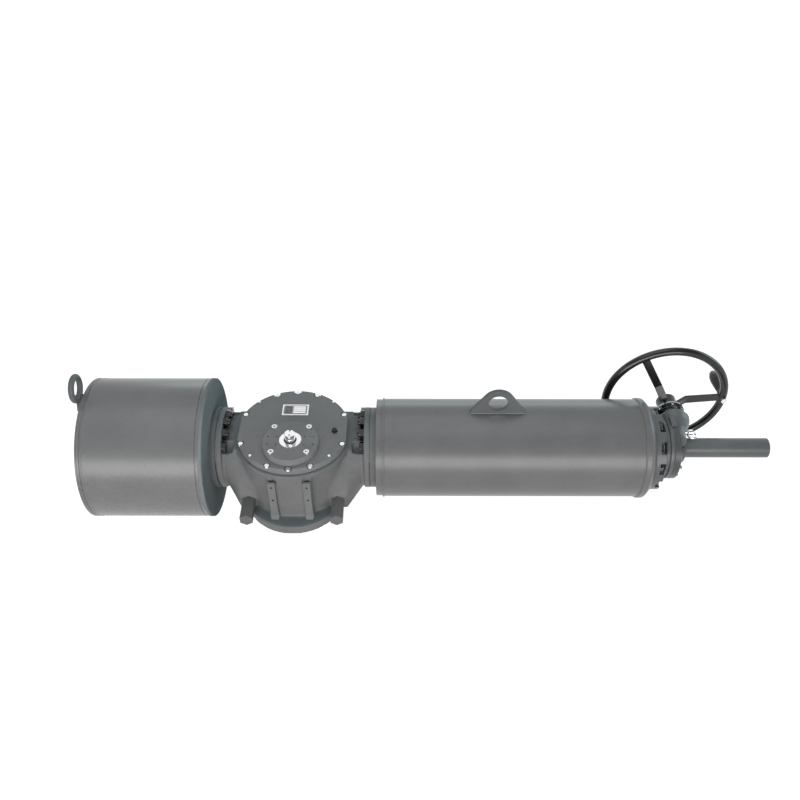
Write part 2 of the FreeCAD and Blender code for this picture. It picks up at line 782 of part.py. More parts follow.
dowels = [
    rod(
        "cover_dowel_%d" % index,
        size.dowel_radius,
        size.cover_thick + size.dowel_deep + 3,
        x,
        y,
        size.shell_top - size.dowel_deep,
    )
    for index, (x, y) in enumerate(cover_places(dowel_angles))
]
keep("cover_dowels", group("cover_dowels", dowels))

# Accessory pad
# The machined pad for a positioner or switch box, with its tapped pattern and four screws.

pad_disc = upright(
    "pad_disc",
    [
        (size.shaft_body + 0.3, cover_top),
        (size.pad_radius, cover_top),
        (size.pad_radius, pad_top - 1.5),
        (size.pad_radius - 1.5, pad_top),
        (size.seal_radius, pad_top),
        (size.seal_radius, pad_top - 5),
        (size.shaft_body + 0.3, pad_top - 5),
    ],
)
pad_tools = []
for along, half in (("short", size.pad_short_pitch / 2), ("long", size.pad_long_pitch / 2)):
    for index, (sx, sy) in enumerate(pad_corners):
        pad_tools.append(
            rod(
                "pattern_hole_%s_%d" % (along, index),
                size.pad_hole,
                size.pad_hole_deep + 5,
                sx * half,
                sy * size.pad_row_pitch / 2,
                pad_top - size.pad_hole_deep,
            )
        )
for index, (x, y) in enumerate(pad_screw_spots):
    pad_tools.append(rod("pad_screw_hole_%d" % index, size.pad_screw, 40, x, y, cover_top - 5))
keep("accessory_pad", cut("accessory_pad", pad_disc, pad_tools))

screws = []
for index, (x, y) in enumerate(pad_screw_spots):
    cap = rod("pad_screw_cap_%d" % index, 8, 7, x, y, pad_top)
    stem = rod("pad_screw_stem_%d" % index, size.pad_screw, size.pad_thick + 12, x, y, cover_top - 12)
    socket = hexagon("pad_screw_socket_%d" % index, 8, 6, x, y, pad_top + 3)
    screws.append(cut("pad_screw_%d" % index, fuse("pad_screw_solid_%d" % index, [cap, stem]), [socket]))
keep("pad_screws", group("pad_screws", screws))

keep(
    "seal_retainer",
    upright(
        "seal_retainer",
        [
            (size.seal_radius, pad_top),
            (size.retainer_radius, pad_top),
            (size.retainer_radius, pad_top + size.retainer_thick),
            (size.seal_radius, pad_top + size.retainer_thick),
        ],
    ),
)
keep(
    "shaft_seal",
    upright(
        "shaft_seal",
        [
            (size.shaft_radius + size.run_gap, pad_top - 5),
            (size.seal_radius, pad_top - 5),
            (size.seal_radius, pad_top + size.retainer_thick),
            (size.shaft_radius + size.run_gap, pad_top + size.retainer_thick + 1),
        ],
    ),
)
keep(
    "nameplate",
    block(
        "nameplate",
        (-size.plate_length / 2, size.plate_middle - size.plate_width / 2, cover_top),
        (size.plate_length / 2, size.plate_middle + size.plate_width / 2, cover_top + size.plate_thick),
    ),
)
keep(
    "vent_plug",
    fuse(
        "vent_plug",
        [
            rod("vent_stem", size.vent_radius - 2, 12, size.vent_x, size.vent_y, cover_top - 12),
            hexagon("vent_hex", size.vent_radius * 2, 5, size.vent_x, size.vent_y, cover_top),
            rod("vent_cap", size.vent_radius - 1, 5, size.vent_x, size.vent_y, cover_top + 5),
        ],
    ),
)

# Bearing bushes of the yoke
# Two bronze rings, one in the valve flange and one in the cover's boss.

keep(
    "lower_bush",
    upright(
        "lower_bush",
        [
            (size.hub_radius + size.run_gap, size.hub_bottom + 1),
            (size.hub_radius + size.lower_bush_wall, size.hub_bottom + 1),
            (size.hub_radius + size.lower_bush_wall, size.valve_flange_thick),
            (size.hub_radius + size.run_gap, size.valve_flange_thick),
        ],
    ),
)
keep(
    "upper_bush",
    upright(
        "upper_bush",
        [
            (size.upper_journal + size.run_gap, boss_bottom),
            (upper_seat, boss_bottom),
            (upper_seat, journal_top),
            (size.upper_journal + size.run_gap, journal_top),
        ],
    ),
)

# Stop bolts and their long hexagon caps
# Each bolt passes its boss and ends just before a lug of the yoke.

stop_tip = -(10 + size.side_gap)
stop_bolts = []
stop_caps = []
for side, sign in (("left", -1), ("right", 1)):
    x = sign * size.stop_offset
    stop_bolts.append(
        rod(
            "stop_bolt_" + side,
            size.stop_bolt_radius,
            size.stop_boss_face + size.stop_cap_length - 20 + stop_tip,
            x,
            stop_tip,
            size.stop_height,
            "-Y",
        )
    )
    shell = place(
        bind(
            doc.addObject("Part::Prism", "stop_cap_hex_" + side),
            Circumradius=size.stop_cap_across / math.sqrt(3),
            Height=size.stop_cap_length,
        ),
        x,
        -size.stop_boss_face,
        size.stop_height,
        ALONG["-Y"].multiply(FreeCAD.Rotation(Vector(0, 0, 1), 30)),
    )
    shell.Polygon = 6
    hole = rod(
        "stop_cap_hole_" + side,
        size.stop_bolt_radius,
        size.stop_cap_length - 20,
        x,
        -size.stop_boss_face,
        size.stop_height,
        "-Y",
    )
    stop_caps.append(cut("stop_cap_" + side, shell, [hole]))
keep("stop_bolts", group("stop_bolts", stop_bolts))
keep("stop_caps", group("stop_caps", stop_caps))

# Accessory rails
# Two flat bars on the front panel, each with two tapped holes and a chamfered foot.

rails = []
for side, sign in (("left", -1), ("right", 1)):
    bar = plate(
        "rail_bar_" + side,
        "YZ_Plane",
        [
            (-size.front_panel_face, size.valve_flange_thick),
            (-size.front_panel_face - size.rail_thick - 6, size.valve_flange_thick),
            (-size.front_panel_face - size.rail_thick - 6, size.valve_flange_thick + 4),
            (-size.front_panel_face - size.rail_thick, size.valve_flange_thick + 12),
            (-size.front_panel_face - size.rail_thick, size.rail_top - 3),
            (-size.front_panel_face - size.rail_thick + 3, size.rail_top),
            (-size.front_panel_face, size.rail_top),
        ],
        size.rail_width,
        sign * size.rail_spacing / 2,
        0,
        0,
        middle=True,
    )
    holes = [
        rod(
            "rail_hole_%s_%s" % (side, level),
            size.rail_hole,
            size.rail_thick + 10,
            sign * size.rail_spacing / 2,
            -size.front_panel_face,
            height,
            "-Y",
        )
        for level, height in (("low", size.rail_hole_low), ("high", size.rail_hole_high))
    ]
    flare = plate(
        "rail_flare_" + side,
        "XZ_Plane",
        [
            (-size.rail_foot / 2, size.valve_flange_thick),
            (size.rail_foot / 2, size.valve_flange_thick),
            (size.rail_width / 2, size.valve_flange_thick + 40),
            (-size.rail_width / 2, size.valve_flange_thick + 40),
        ],
        size.rail_thick,
        sign * size.rail_spacing / 2,
        -size.front_panel_face - size.rail_thick / 2,
        0,
        middle=True,
    )
    rails.append(cut("rail_" + side, fuse("rail_blank_" + side, [bar, flare]), holes))
keep("accessory_rails", group("accessory_rails", rails))

# Guide bar
# A ground bar behind the cylinder axis that takes the yoke's side load off the rods.

guide_end = size.neck_face + 8
keep(
    "guide_bar",
    rod("guide_bar", size.guide_radius, guide_end * 2, -guide_end, axis_y + size.guide_offset, axis_z, "X"),
)

neck_bolts = []
for index, (y, z) in enumerate(neck_bolt_spots):
    for side, sign in (("left", -1), ("right", 1)):
        neck_bolts.append(
            hex_bolt(
                "neck_bolt_%s_%d" % (side, index),
                size.neck_bolt_across,
                size.neck_bolt_head,
                size.neck_bolt_shank,
                size.neck_bolt_grip,
                sign * neck_back,
                y,
                z,
                "-X" if sign > 0 else "X",
            )
        )
keep("neck_bolts", group("neck_bolts", neck_bolts))

# Spring canister
# A welded tube with two plates, and the stepped hub flange that bolts it to the left neck.

hub_back = -size.neck_face - size.hub_flange_step
can_end = hub_back - size.can_length
bush_seat = size.rod_radius + size.bush_wall
plate_back = hub_back - size.can_plate


def bolt_sockets(name, start, deep, along):
    """Blind holes for the neck bolts' ends."""
    return [
        rod("%s_%d" % (name, index), size.neck_bolt_shank, deep, start, y, z, along)
        for index, (y, z) in enumerate(neck_bolt_spots)
    ]


bolt_end = size.neck_bolt_grip - size.neck_flange_thick
hub_flange_body = turned(
    "hub_flange_body",
    [
        (hub_back - size.can_plate, bush_seat),
        (-size.neck_face, bush_seat),
        (-size.neck_face, size.neck_flange_radius),
        (hub_back + 7, size.neck_flange_radius),
        (hub_back + 7, size.neck_flange_radius - 4),
        (hub_back, size.neck_flange_radius - 4),
        (hub_back, 60),
        (hub_back - size.can_plate, 60),
    ],
)
guide_socket_left = rod(
    "guide_socket_left",
    size.guide_radius,
    guide_end - size.neck_face + 2,
    -size.neck_face + 2,
    axis_y + size.guide_offset,
    axis_z,
    "-X",
)
keep(
    "hub_flange",
    cut(
        "hub_flange",
        hub_flange_body,
        bolt_sockets("hub_socket", -size.neck_face + 1, bolt_end + 1, "-X") + [guide_socket_left],
    ),
)
rod_run = size.rod_radius + size.run_gap
keep(
    "rod_bushes",
    group(
        "rod_bushes",
        [
            ring("spring_rod_bush", bush_seat, rod_run, hub_back - size.can_plate, -size.neck_face),
            ring("piston_rod_bush", bush_seat, rod_run, size.neck_face, size.neck_face + size.bush_length),
        ],
    ),
)
can_inner = size.can_radius - size.can_wall
keep(
    "canister_tube",
    turned(
        "canister_tube",
        [
            (can_end + size.can_plate - 4, can_inner),
            (hub_back - size.can_plate, can_inner),
            (hub_back - size.can_plate, size.can_radius),
            (can_end + size.can_plate - 4, size.can_radius),
        ],
    ),
)
keep(
    "canister_front_plate",
    turned(
        "canister_front_plate",
        [
            (plate_back, 60),
            (hub_back, 60),
            (hub_back, size.can_radius - 4),
            (hub_back - 1.5, size.can_radius + 0.6),
            (hub_back - size.can_plate, size.can_radius + 0.6),
        ],
    ),
)
keep(
    "canister_end_cap",
    turned(
        "canister_end_cap",
        [
            (can_end, 0),
            (can_end + 20, 0),
            (can_end + 20, can_inner),
            (can_end + 6, can_inner),
            (can_end + 6, size.can_radius + 0.6),
            (can_end + 1.5, size.can_radius + 0.6),
            (can_end, size.can_radius - 2),
        ],
    ),
)

# Lifting eye of the canister
# A forged ring on a stem, welded to the end plate over a round foot.

eye_x = can_end - size.eye_stand
eye_z = axis_z + size.can_radius + size.eye_rise
eye_ring = bind(doc.addObject("Part::Torus", "eye_ring"), Radius1=size.eye_ring, Radius2=size.eye_section)
place(eye_ring, eye_x, axis_y, eye_z, ALONG["X"])
eye_stem = cone(
    "eye_stem",
    9,
    12,
    40,
    eye_x,
    axis_y,
    eye_z - size.eye_ring + 6,
    "-Z",
)
eye_foot = rod(
    "eye_foot", size.eye_foot_radius, size.eye_stand + 1, eye_x - 1, axis_y, axis_z + size.can_radius - 30, "X"
)
eye_low = axis_z + size.can_radius - 62
eye_plate = block(
    "eye_plate", (eye_x - 4, axis_y - 15, eye_low), (can_end, axis_y + 15, eye_z - size.eye_ring)
)
keep("lifting_eye", fuse("lifting_eye", [eye_ring, eye_stem, eye_foot, eye_plate]))
keep("eye_bolt", hexagon("eye_bolt", 17, 8, eye_x - 4, axis_y, eye_low + 11, "-X"))

# Power spring
# A helix of wire between the end cap and the pusher plate, drawn with short straight runs.

pusher_front = plate_back - size.pusher_clear
pusher_back = pusher_front - size.pusher_thick
spring_left = can_end + 20
spring_free = pusher_back - spring_left
spring_length = spring_free - size.spring_wire * 2
coil = size.spring_coil_radius.number
steps = 14 * int(size.spring_turns.number)
corners = []
for step in range(steps + 1):
    turn = 2 * math.pi * step / 14
    corners.append(Vector(coil * math.cos(turn), coil * math.sin(turn), spring_length.number * step / steps))
spring_path = doc.addObject("Part::Feature", "spring_path")
spring_path.Shape = Part.makePolygon(corners)
wire_section = bind(doc.addObject("Part::RegularPolygon", "wire_section"), Circumradius=size.spring_wire)
wire_section.Polygon = 8
along_wire = FreeCAD.Rotation(Vector(0, 0, 1), corners[1] - corners[0])
wire_section.Placement = FreeCAD.Placement(corners[0], along_wire)
spring = doc.addObject("Part::Sweep", "spring_coil")
spring.Sections = [wire_section]
spring.Spine = spring_path
spring.Solid = True
spring.Frenet = False
spring.Transition = "Right corner"
place(spring, spring_left + size.spring_wire, axis_y, axis_z, ALONG["X"])
keep("power_spring", spring)

# Cylinder
# Adapter ring, front head, tube with its bead, inner bulkhead and rounded end head.

head_start = size.neck_face + size.adapter_thick
tube_start = head_start + size.head_thick
tube_end = tube_start + size.tube_length
tube_radius = size.bore_radius + size.tube_wall
adapter_body = turned(
    "adapter_body",
    [
        (size.neck_face, bush_seat),
        (head_start, bush_seat),
        (head_start, size.adapter_radius),
        (size.neck_face, size.adapter_radius),
    ],
)
guide_socket_right = rod(
    "guide_socket_right",
    size.guide_radius,
    guide_end - size.neck_face + 2,
    size.neck_face - 2,
    axis_y + size.guide_offset,
    axis_z,
    "X",
)
keep(
    "rod_adapter",
    cut(
        "rod_adapter",
        adapter_body,
        bolt_sockets("adapter_socket", size.neck_face - 1, bolt_end + 1, "X") + [guide_socket_right],
    ),
)
bush_end = size.neck_face + size.bush_length
keep(
    "cylinder_head",
    turned(
        "cylinder_head",
        [
            (head_start, bush_seat),
            (bush_end, bush_seat),
            (bush_end, rod_run),
            (tube_start + size.head_spigot, rod_run),
            (tube_start + size.head_spigot, size.bore_radius),
            (tube_start, size.bore_radius),
            (tube_start, size.head_radius),
            (head_start, size.head_radius),
        ],
    ),
)
tube_body = turned(
    "tube_body",
    [
        (tube_start, size.bore_radius),
        (tube_end, size.bore_radius),
        (tube_end, tube_radius),
        (tube_start + 6, tube_radius),
        (tube_start + 5, tube_radius + size.tube_bead),
        (tube_start, tube_radius + size.tube_bead),
    ],
)
port_places = (
    ("air", tube_start + size.bulkhead_start - 12),
    ("vent", tube_start + size.head_spigot + 12),
)
bosses = []
port_holes = []
for name, x in port_places:
    low = axis_z - tube_radius - size.port_boss_height
    bosses.append(rod(name + "_boss", size.port_boss, size.port_boss_height + 12, x, axis_y, low))
    port_holes.append(rod(name + "_port", size.port_radius, 60, x, axis_y, low - 1))
bore_clear = cylinder_axis_rod("bore_clear", size.bore_radius, tube_start - 1, tube_end + 1)
keep(
    "cylinder_tube",
    cut("cylinder_tube", fuse("tube_and_bosses", [tube_body] + bosses), [bore_clear] + port_holes),
)
bulkhead_x = tube_start + size.bulkhead_start
keep(
    "bulkhead",
    ring("bulkhead", size.bore_radius, rod_run, bulkhead_x, bulkhead_x + size.bulkhead_thick),
)
end_face = tube_end + size.end_head_thick
shoulder = tube_end + size.end_bead_width
end_blank = turned(
    "end_blank",
    [
        (tube_end - size.head_spigot, 40),
        (end_face, 40),
        (end_face, size.crown_radius + 1),
        (shoulder + 10, size.end_bead_radius - 8),
        (shoulder + 4, size.end_bead_radius - 2),
        (shoulder, size.end_bead_radius),
        (tube_end + 4, size.end_bead_radius),
        (tube_end, size.end_bead_radius - 3),
        (tube_end, size.bore_radius),
        (tube_end - size.head_spigot, size.bore_radius),
    ],
)
crown_angles = [15 + 30 * index for index in range(12)]
crown_spots = circle_places(size.crown_bolt_radius, crown_angles)
keep(
    "end_head",
    cut(
        "end_head",
        end_blank,
        [
            rod("end_head_hole_%d" % index, size.crown_bolt_shank, 40, end_face - size.crown_bolt_deep, y, z, "X")
            for index, (y, z) in enumerate(crown_spots)
        ],
    ),
)

# Lifting lug
# A plate welded along the tube's crown, with a round eye.

lug_foot = axis_z + tube_radius
lug_eye = axis_z + size.lug_hole_height
lug_plate = plate(
    "lug_plate",
    "XZ_Plane",
    [
        (-size.lug_half_base, lug_foot - 1),
        (size.lug_half_base, lug_foot - 1),
        (size.lug_half_base, lug_foot + 6),
        (size.lug_round * 0.83, lug_eye + size.lug_round * 0.56),
        (-size.lug_round * 0.83, lug_eye + size.lug_round * 0.56),
        (-size.lug_half_base, lug_foot + 6),
    ],
    size.lug_thick,
    size.lug_place,
    axis_y,
    0,
    middle=True,
)
lug_head = rod(
    "lug_head", size.lug_round, size.lug_thick, size.lug_place, axis_y - size.lug_thick / 2, lug_eye, "Y"
)
lug_hole = rod("lug_hole", size.lug_hole, 60, size.lug_place, axis_y - 30, lug_eye, "Y")
lug_saddle = cylinder_axis_rod("lug_saddle", tube_radius, tube_start, tube_end)
keep("lifting_lug", cut("lifting_lug", fuse("lug_blank", [lug_plate, lug_head]), [lug_hole, lug_saddle]))

# Notched ring
# Carries the gearbox on the end head; its bolts sit in open notches.

crown_end = end_face + size.crown_thick
crown_seat = end_face + size.crown_floor
case_ring_spots = circle_places(size.case_bolt_radius + 3, [22.5 + 45 * index for index in range(8)])
crown_tools = []
for index, (y, z) in enumerate(case_ring_spots):
    crown_tools.append(rod("case_ring_hole_%d" % index, size.case_bolt_shank, 30, crown_end - 16, y, z, "X"))
for index, (y, z) in enumerate(circle_places(size.crown_bolt_radius + 3, crown_angles)):
    crown_tools.append(rod("crown_notch_%d" % index, size.crown_notch, 60, crown_seat, y, z, "X"))
for index, (y, z) in enumerate(crown_spots):
    crown_tools.append(rod("crown_hole_%d" % index, size.crown_bolt_shank, 50, end_face - 2, y, z, "X"))
keep(
    "gearbox_adapter",
    cut("gearbox_adapter", ring("crown_ring", size.crown_radius, 40, end_face, crown_end), crown_tools),
)
adapter_bolts = [
    hex_bolt(
        "crown_bolt_%d" % index,
        size.crown_bolt_across,
        size.crown_bolt_head,
        size.crown_bolt_shank,
        size.crown_floor + size.crown_bolt_deep,
        crown_seat,
        y,
        z,
        "X",
    )
    for index, (y, z) in enumerate(crown_spots)
] + [
    hex_bolt("case_ring_bolt_%d" % index, size.case_bolt_across, 8, size.case_bolt_shank, 16, crown_end, y, z, "X")
    for index, (y, z) in enumerate(case_ring_spots)
]
keep("adapter_bolts", group("adapter_bolts", adapter_bolts))

# Worm gearbox
# The body with its two flanges and the worm's rounded housing across it, the cover and its screws.

case_end = crown_end + size.case_thick
worm_place = crown_end + size.worm_reach
cover_cone_end = crown_end + size.cover_reach
pipe_end = crown_end + size.cover_pipe_reach
spindle_end = pipe_end - size.spindle_back
lever_start = worm_place + 24
case_flange = crown_end + size.case_waist
worm_y_front = size.worm_case_front
input_seat = size.worm_case_back - 2
worm_z = axis_z + size.worm_rise
pitch_radius = size.gear_module * size.wheel_teeth / 2
worm_pitch = size.worm_rise - pitch_radius
wheel_outer = pitch_radius + size.gear_module * 0.9
bearing_outer = size.wheel_hub_radius + size.run_gap + size.wheel_bearing_wall
worm_bearing_outer = size.input_shaft + size.run_gap + size.bearing_wall
worm_front_outer = size.input_shaft + size.run_gap + size.wheel_bearing_wall
wheel_start = worm_place - size.wheel_hub_left
wheel_stop = worm_place + size.wheel_hub_right
cavity_half = size.wheel_face / 2 + 1


def worm_turned(name, points):
    """A part turned about the worm's axis, from (radius, place along Y) corners."""
    body = doc.addObject("PartDesign::Body", name)
    sketch = outline(body, name + "_profile", "XZ_Plane", points)
    turning = body.newObject("PartDesign::Revolution", name + "_turning")
    turning.Profile = sketch
    turning.ReferenceAxis = (sketch, ["V_Axis"])
    turning.Angle = 360
    return place(body, worm_place, 0, worm_z, ALONG["Y"])


case_body = turned(
    "case_body",
    [
        (crown_end, 0),
        (case_end, 0),
        (case_end, size.case_radius - 1),
        (case_end - 3, size.case_radius),
        (case_flange + 14, size.case_radius),
        (case_flange + 12, size.case_radius - 5),
        (case_flange + 10, size.case_radius - 5),
        (case_flange + 9, size.case_radius - 1),
        (case_flange + 2, size.case_radius - 1),
        (case_flange, size.case_radius - 4),
        (case_flange, size.case_waist_radius),
        (crown_end, size.case_waist_radius),
    ],
)
worm_case = worm_turned(
    "worm_case",
    [
        (0, worm_y_front),
        (size.worm_case_radius * 0.36, worm_y_front),
        (size.worm_case_radius * 0.46, worm_y_front + 5),
        (size.worm_case_radius * 0.5, axis_y),
        (size.worm_case_radius * 0.6, axis_y + 12),
        (size.worm_case_radius * 0.76, axis_y + 24),
        (size.worm_case_radius * 0.9, axis_y + 36),
        (size.worm_case_radius * 0.98, axis_y + 48),
        (size.worm_case_radius, size.worm_case_back - 8),
        (size.worm_case_radius * 0.95, size.worm_case_back - 3),
        (size.worm_case_radius * 0.86, size.worm_case_back),
        (0, size.worm_case_back),
    ],
)
case_rib = block(
    "case_rib",
    (worm_place - 24, axis_y - 4, axis_z),
    (worm_place - 8, size.worm_case_back - 16, worm_z + size.worm_case_radius - 6),
)
case_angles = [180, 210, 240, 270, 300, 330]
case_spots = circle_places(size.case_bolt_radius, case_angles)
gearbox_tools = [
    cylinder_axis_rod("wheel_bearing_seat", bearing_outer, crown_end - 1, wheel_stop),
    cylinder_axis_rod("pipe_room", size.cover_pipe_radius, wheel_stop - 1, cover_cone_end + 30),
    rod(
        "lever_hole",
        size.lever_shaft + size.run_gap,
        60,
        lever_start - 2,
        size.lever_y,
        size.lever_z,
        "X",
    ),
    cylinder_axis_rod(
        "wheel_cavity", wheel_outer + 3, worm_place - cavity_half, worm_place + cavity_half
    ),
    rod(
        "worm_front_seat",
        worm_front_outer,
        40,
        worm_place,
        worm_y_front + 3,
        worm_z,
        "Y",
    ),
    rod(
        "worm_cavity",
        worm_bearing_outer,
        size.worm_case_back,
        worm_place,
        worm_y_front + 3 + size.bearing_width + 2,
        worm_z,
        "Y",
    ),
    rod(
        "input_neck_room",
        size.input_neck_radius,
        size.worm_case_back,
        worm_place,
        input_seat,
        worm_z,
        "Y",
    ),
]
for index, (y, z) in enumerate(case_spots):
    gearbox_tools.append(rod("case_hole_%d" % index, size.case_bolt_shank, 30, case_end - 14, y, z, "X"))
keep(
    "gearbox_body",
    cut("gearbox_body", fuse("gearbox_casting", [case_body, worm_case, case_rib]), gearbox_tools),
)

cover_rim_end = case_end + size.case_cover_thick
cover_blank = turned(
    "cover_blank",
    [
        (case_end, bearing_outer),
        (wheel_stop - size.bearing_width, bearing_outer),
        (wheel_stop, bearing_outer),
        (wheel_stop, size.cover_pipe_radius),
        (cover_cone_end, size.cover_pipe_radius),
        (cover_cone_end, wheel_outer + 1),
        (cover_cone_end - 3, wheel_outer + 4),
        (worm_place + cavity_half + 3, wheel_outer + 9),
        (cover_rim_end + 9, wheel_outer + 18),
        (cover_rim_end, size.case_radius - 5),
        (cover_rim_end - 3, size.case_radius),
        (case_end + size.case_seam, size.case_radius),
        (case_end, size.case_radius - size.case_seam),
    ],
)
cover_seat = cover_rim_end + 2
keep(
    "gearbox_cover",
    cut(
        "gearbox_cover",
        cover_blank,
        [
            rod(
                "worm_case_room",
                size.worm_case_radius + 0.2,
                size.worm_case_back,
                worm_place,
                axis_y - 4,
                worm_z,
                "Y",
            ),
            rod(
                "worm_nose_room",
                size.worm_case_radius * 0.5 + 0.2,
                size.worm_case_back,
                worm_place,
                worm_y_front - 4,
                worm_z,
                "Y",
            ),
            block(
                "case_rib_room",
                (worm_place - 24.2, axis_y - 4.2, axis_z),
                (worm_place - 7.8, axis_y + size.case_radius, axis_z + size.case_radius),
            ),
            cylinder_axis_rod(
                "wheel_room", wheel_outer + 3, worm_place - cavity_half, worm_place + cavity_half
            ),
        ]
        + [
            rod("cover_screw_hole_%d" % index, size.case_bolt_shank, 60, case_end - 1, y, z, "X")
            for index, (y, z) in enumerate(case_spots)
        ]
        + [
            rod("cover_screw_seat_%d" % index, size.case_bolt_across / 2 + 3, 30, cover_seat - 4, y, z, "X")
            for index, (y, z) in enumerate(case_spots)
        ],
    ),
)
case_bolts = [
    hex_bolt(
        "case_bolt_%d" % index,
        size.case_bolt_across,
        8,
        size.case_bolt_shank,
        size.case_cover_thick + 10,
        cover_seat - 4,
        y,
        z,
        "X",
    )
    for index, (y, z) in enumerate(case_spots)
]
keep("gearbox_bolts", group("gearbox_bolts", case_bolts))

keep(
    "cover_pipe",
    turned(
        "cover_pipe",
        [
            (wheel_stop + 1, size.cover_pipe_radius - size.cover_pipe_wall),
            (pipe_end - 5, size.cover_pipe_radius - size.cover_pipe_wall),
            (pipe_end - 5, 0),
            (pipe_end, 0),
            (pipe_end, size.cover_pipe_radius - 1),
            (pipe_end - 1, size.cover_pipe_radius),
            (wheel_stop + 1, size.cover_pipe_radius),
        ],
    ),
)
ring_front = size.input_ring_place
keep(
    "input_ring",
    worm_turned(
        "input_ring",
        [
            (size.input_shaft + size.side_gap, input_seat),
            (size.input_neck_radius, input_seat),
            (size.input_neck_radius, ring_front),
            (size.input_ring_radius, ring_front),
            (size.input_ring_radius, ring_front + size.input_ring_thick),
            (size.input_shaft + size.side_gap, ring_front + size.input_ring_thick),
        ],
    ),
)
zinc_screws = []
for index in range(6):
    turn = math.radians(30 + 60 * index)
    reach = (size.input_neck_radius + size.input_ring_radius) / 2
    x = worm_place + reach * math.cos(turn)
    z = worm_z + reach * math.sin(turn)
    zinc_screws.append(hexagon("input_screw_%d" % index, 10, 6, x, ring_front, z, "-Y"))
keep("gearbox_screws", group("gearbox_screws", zinc_screws))

wheel_run = size.wheel_hub_radius + size.run_gap
worm_run = size.input_shaft + size.run_gap


def worm_bearing(name, radius, y):
    """A bearing ring on the input shaft."""
    outer = rod(name + "_outer", radius, size.bearing_width, worm_place, y, worm_z, "Y")
    inner = rod(name + "_inner", worm_run, size.bearing_width + 2, worm_place, y - 1, worm_z, "Y")
    return cut(name, outer, [inner])


keep(
    "gearbox_bearings",
    group(
        "gearbox_bearings",
        [
            ring("wheel_bearing_left", bearing_outer, wheel_run, wheel_start, wheel_start + size.bearing_width),
            ring("wheel_bearing_right", bearing_outer, wheel_run, wheel_stop - size.bearing_width, wheel_stop),
            worm_bearing("worm_bearing_front", worm_front_outer, worm_y_front + 3),
            worm_bearing(
                "worm_bearing_back", worm_bearing_outer, input_seat - size.bearing_width
            ),
        ],
    ),
)

# Moving train on the cylinder axis
# Spring rod and pusher, guide block with the yoke pin, piston rod, piston and spindle.

half_stroke = size.stroke / 2
block_left = half_stroke - size.block_half_length
block_right = half_stroke + size.block_half_length
block_body = block(
    "block_body",
    (block_left, axis_y - size.block_front, axis_z - size.block_half_height),
    (block_right, axis_y + size.block_front, axis_z + size.block_half_height),
)
block_web = block(
    "block_web",
    (block_left, axis_y, axis_z - size.guide_lug_radius + 3),
    (block_right, axis_y + size.guide_offset, axis_z + size.guide_lug_radius - 3),
)
block_lug = rod(
    "block_lug",
    size.guide_lug_radius,
    size.block_half_length * 2,
    block_left,
    axis_y + size.guide_offset,
    axis_z,
    "X",
)
guide_bore = rod(
    "guide_bore",
    size.guide_radius + size.run_gap,
    size.block_half_length * 4,
    block_left - 40,
    axis_y + size.guide_offset,
    axis_z,
    "X",
)
pin_bore = rod("pin_bore", size.pin_radius, 200, half_stroke, axis_y, axis_z - 100)
keep(
    "guide_block",
    cut("guide_block", fuse("block_blank", [block_body, block_web, block_lug]), [guide_bore, pin_bore]),
)
pin_half = size.arm_gap + size.arm_thick + 2
keep("yoke_pin", rod("yoke_pin", size.pin_radius, pin_half * 2, half_stroke, axis_y, axis_z - pin_half))
rollers = []
for name, low in (
    ("roller_upper", axis_z + size.arm_gap + size.side_gap),
    ("roller_lower", axis_z - size.arm_gap - size.arm_thick + size.side_gap),
):
    outer = rod(name + "_outer", size.roller_radius, size.arm_thick - 1, half_stroke, axis_y, low)
    inner = rod(name + "_inner", size.pin_radius + size.run_gap, 40, half_stroke, axis_y, low - 5)
    rollers.append(cut(name, outer, [inner]))
keep("yoke_rollers", group("yoke_rollers", rollers))
keep(
    "spring_rod",
    turned(
        "spring_rod",
        [
            (pusher_back - 18, 0),
            (block_left, 0),
            (block_left, size.rod_radius),
            (pusher_front, size.rod_radius),
            (pusher_front, size.rod_radius - 5),
            (pusher_back - 18, size.rod_radius - 5),
        ],
    ),
)
keep(
    "spring_pusher",
    turned(
        "spring_pusher",
        [
            (pusher_back, size.rod_radius - 5),
            (pusher_front, size.rod_radius - 5),
            (pusher_front, 60),
            (pusher_front - 4, size.pusher_radius),
            (pusher_back, size.pusher_radius),
        ],
    ),
)
piston_left = tube_start + size.piston_start
piston_right = piston_left + size.piston_thick
tail_end = piston_right + size.tail_reach
keep("piston_rod", cylinder_axis_rod("piston_rod", size.rod_radius, block_right, piston_left))
piston_outer = size.bore_radius - size.piston_gap
keep(
    "piston",
    turned(
        "piston",
        [
            (piston_left, 0),
            (piston_right, 0),
            (piston_right, piston_outer - 8),
            (piston_right - 9, piston_outer - 8),
            (piston_right - 9, piston_outer),
            (piston_left + 9, piston_outer),
            (piston_left + 9, piston_outer - 8),
            (piston_left, piston_outer - 8),
        ],
    ),
)
keep(
    "piston_seals",
    group(
        "piston_seals",
        [
            ring("piston_seal_left", piston_outer + 0.25, piston_outer - 8, piston_left + 1, piston_left + 9),
            ring("piston_seal_right", piston_outer + 0.25, piston_outer - 8, piston_right - 9, piston_right - 1),
        ],
    ),
)
keep(
    "override_spindle",
    turned(
        "override_spindle",
        [
            (piston_right, 0),
            (spindle_end, 0),
            (spindle_end, size.spindle_radius - 2),
            (spindle_end - 2, size.spindle_radius),
            (tail_end + 3, size.spindle_radius),
            (tail_end, size.rod_radius),
            (piston_right, size.rod_radius),
        ],
    ),
)

# Yoke
# One forging: two journals, two slotted arms, two stop lugs and the keyed bore for the stem.
# It is drawn with its arms along +Y and then turned to where the pin stands at rest.

